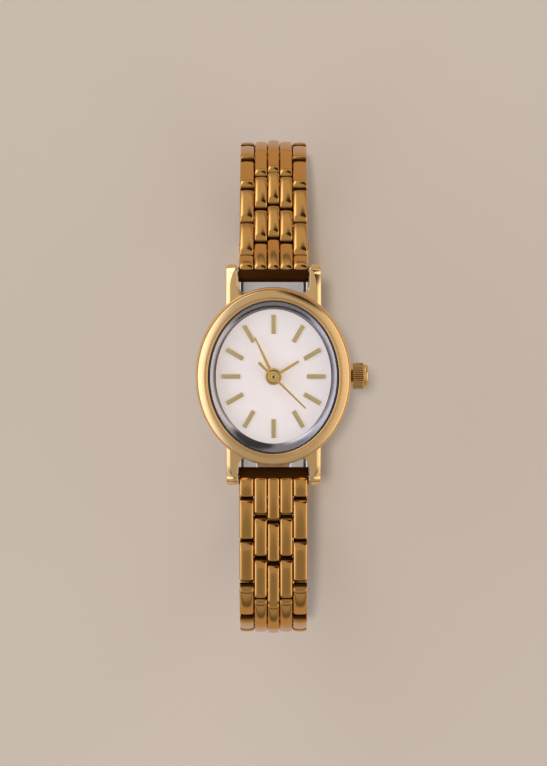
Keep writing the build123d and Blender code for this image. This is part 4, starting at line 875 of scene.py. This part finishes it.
inner_depth, fork_end = 0.7 * mm, clasp_length - 0.52 * mm
wide_start, wide_end = fold_y + 0.55 * mm, clasp_length - 2.2 * mm
inner_grids = [frame_plate(wide_start, wide_end, inner_depth, window[0] + 1.2 * mm,
                           window[1] + 1.2 * mm),
               knuckle_tube(fold_y, fold_z, -2.2 * mm, 2.2 * mm),
               pillow(2.2 * mm, 0.5 * mm, half_sheet, (0, fold_y + 0.45 * mm, inner_depth),
                      0.0)]
for side in (-1, 1):
    inner_grids.append(pillow(0.77 * mm, (fork_end - wide_end) / 2 + 0.3 * mm, half_sheet,
                              (side * 3.53 * mm, (fork_end + wide_end) / 2 - 0.3 * mm,
                               inner_depth), 0.0))
piece("inner_blade_strip", [in_clasp(grid) for grid in inner_grids], blade_steel,
      "inner_blade", ["clasp_inner_blade"])

# Studio: a sheet of warm beige paper under a small lamp high above, which reflections don't
# show. The metal mirrors the room: bright panels left and right, a dark screen beyond 1
# o'clock and a dark band behind 6 o'clock.
floor_level = cad_box[0][2]
floor_reach = 0.75
paper = Finish("paper")
paper.set(Base_Color=(0.548, 0.462, 0.38, 1), Roughness=1.0, Specular_IOR_Level=0.0)
floor_mesh = bpy.data.meshes.new("floor_sheet")
floor_mesh.from_pydata([(x * floor_reach, y * floor_reach, floor_level)
                        for x, y in ((-1, -1), (1, -1), (1, 1), (-1, 1))], [], [(0, 1, 2, 3)])
floor_mesh.materials.append(paper.material)
floor = bpy.data.objects.new("floor_sheet", floor_mesh)
bpy.context.scene.collection.objects.link(floor)

lamp = bpy.data.lights.new("key_lamp", "SUN")
lamp.energy = 1.12
lamp.angle = np.radians(3.0)
lamp.color = (1.0, 0.97, 0.93)
key = bpy.data.objects.new("key_lamp", lamp)
key.visible_glossy = False
bpy.context.scene.collection.objects.link(key)
key.rotation_euler = (np.radians(-5.0), np.radians(-3.0), 0.0)

world = bpy.data.worlds.new("room")
bpy.context.scene.world = world
world.use_nodes = True
room = Nodes(world.node_tree)
aim = room.node("ShaderNodeTexCoord", output="Generated")


def ramp(value, start, end, low, high):
    """Smooth step of a value from low to high between two places."""
    return room.node("ShaderNodeMapRange", {"interpolation_type": "SMOOTHSTEP"},
                     {"Value": value, "From Min": start, "From Max": end, "To Min": low,
                      "To Max": high})


east, north, up = (room.node("ShaderNodeSeparateXYZ", {}, {"Vector": aim}, output=axis)
                   for axis in "XYZ")
# how bright the room is in each direction: walls, then the panels that stand before them
above_table = ramp(up, 0.25, 0.45, 0.1, 1.0)
waist_high = ramp(up, 0.2, 0.35, 0.0, 1.0) * ramp(up, 0.5, 0.65, 1.0, 0.0)
walls = (ramp(north, -0.3, -0.1, 0.45, 0.53)
         + ramp(up, 0.25, 0.5, 1.0, 0.0) * ramp(north, 0.3, 0.8, 0.0, 0.14))
west_panel = above_table * ramp(east, -0.75, -0.4, 1.05, 0.0)
east_panel = (above_table * ramp(east, 0.3, 0.75, 0.0, 0.4)
              + waist_high * ramp(east, 0.5, 0.8, 0.0, 0.8))
north_west_panel = (ramp(up, 0.35, 0.65, 1.0, 0.0) * ramp(north, 0.5, 0.8, 0.0, 1.6)
                    * ramp(east, -0.4, -0.14, 1.0, 0.0))
# what takes light away: the screen, the band behind 6 o'clock, the camera and the table
screen = 1.0 - (ramp(east * 0.38 + north * 0.8 + up * 0.465, 0.895, 0.96, 0.0, 0.94)
                * ramp(up, 0.22, 0.36, 0.0, 1.0))
band = 1.0 - ((1.0 - ramp(north, -0.75, -0.6, 0.06, 1.0))
              * ramp(up, 0.32, 0.4, 0.0, 1.0) * ramp(up, 0.48, 0.55, 1.0, 0.0))
overhead = ramp(up * 0.93 - north * 0.37, 0.94, 0.99, 1.0, 0.75)
table = ramp(up, -0.02, 0.12, 0.3, 1.0)
level = ((walls + west_panel + east_panel + north_west_panel)
         * screen * band * overhead * table)
backdrop = world.node_tree.nodes["Background"]
room.plug(backdrop.inputs["Color"],
          room.node("ShaderNodeMix", {"data_type": "RGBA"},
                    {"Factor": ramp(east, -0.55, -0.1, 1.0, 0.0), 6: (1.0, 0.97, 0.95, 1),
                     7: (1.0, 1.08, 1.3, 1)}, output=2))
room.plug(backdrop.inputs["Strength"], level)

# Camera: it looks down on the dial from 35 cm, tipped a few degrees towards 12 o'clock, and
# one pixel of the picture is 0.13 mm on the watch.
distance, tilt = 0.35, np.radians(4.0)
pixel = 0.13 * mm
image_height = 766
aim_y, aim_z = -0.85 * mm, 4.0 * mm
lens = bpy.data.cameras.new("camera")
lens.sensor_fit = "VERTICAL"
lens.sensor_height = 36.0
lens.lens = lens.sensor_height * distance / (pixel * image_height)
lens.clip_start, lens.clip_end = 0.01, 10.0
camera = bpy.data.objects.new("camera", lens)
bpy.context.scene.collection.objects.link(camera)
camera.location = (0.0, aim_y + distance * np.sin(tilt), aim_z + distance * np.cos(tilt))
camera.rotation_euler = (-tilt, 0.0, 0.0)
bpy.context.scene.camera = camera
bpy.context.scene.view_settings.view_transform = "Standard"
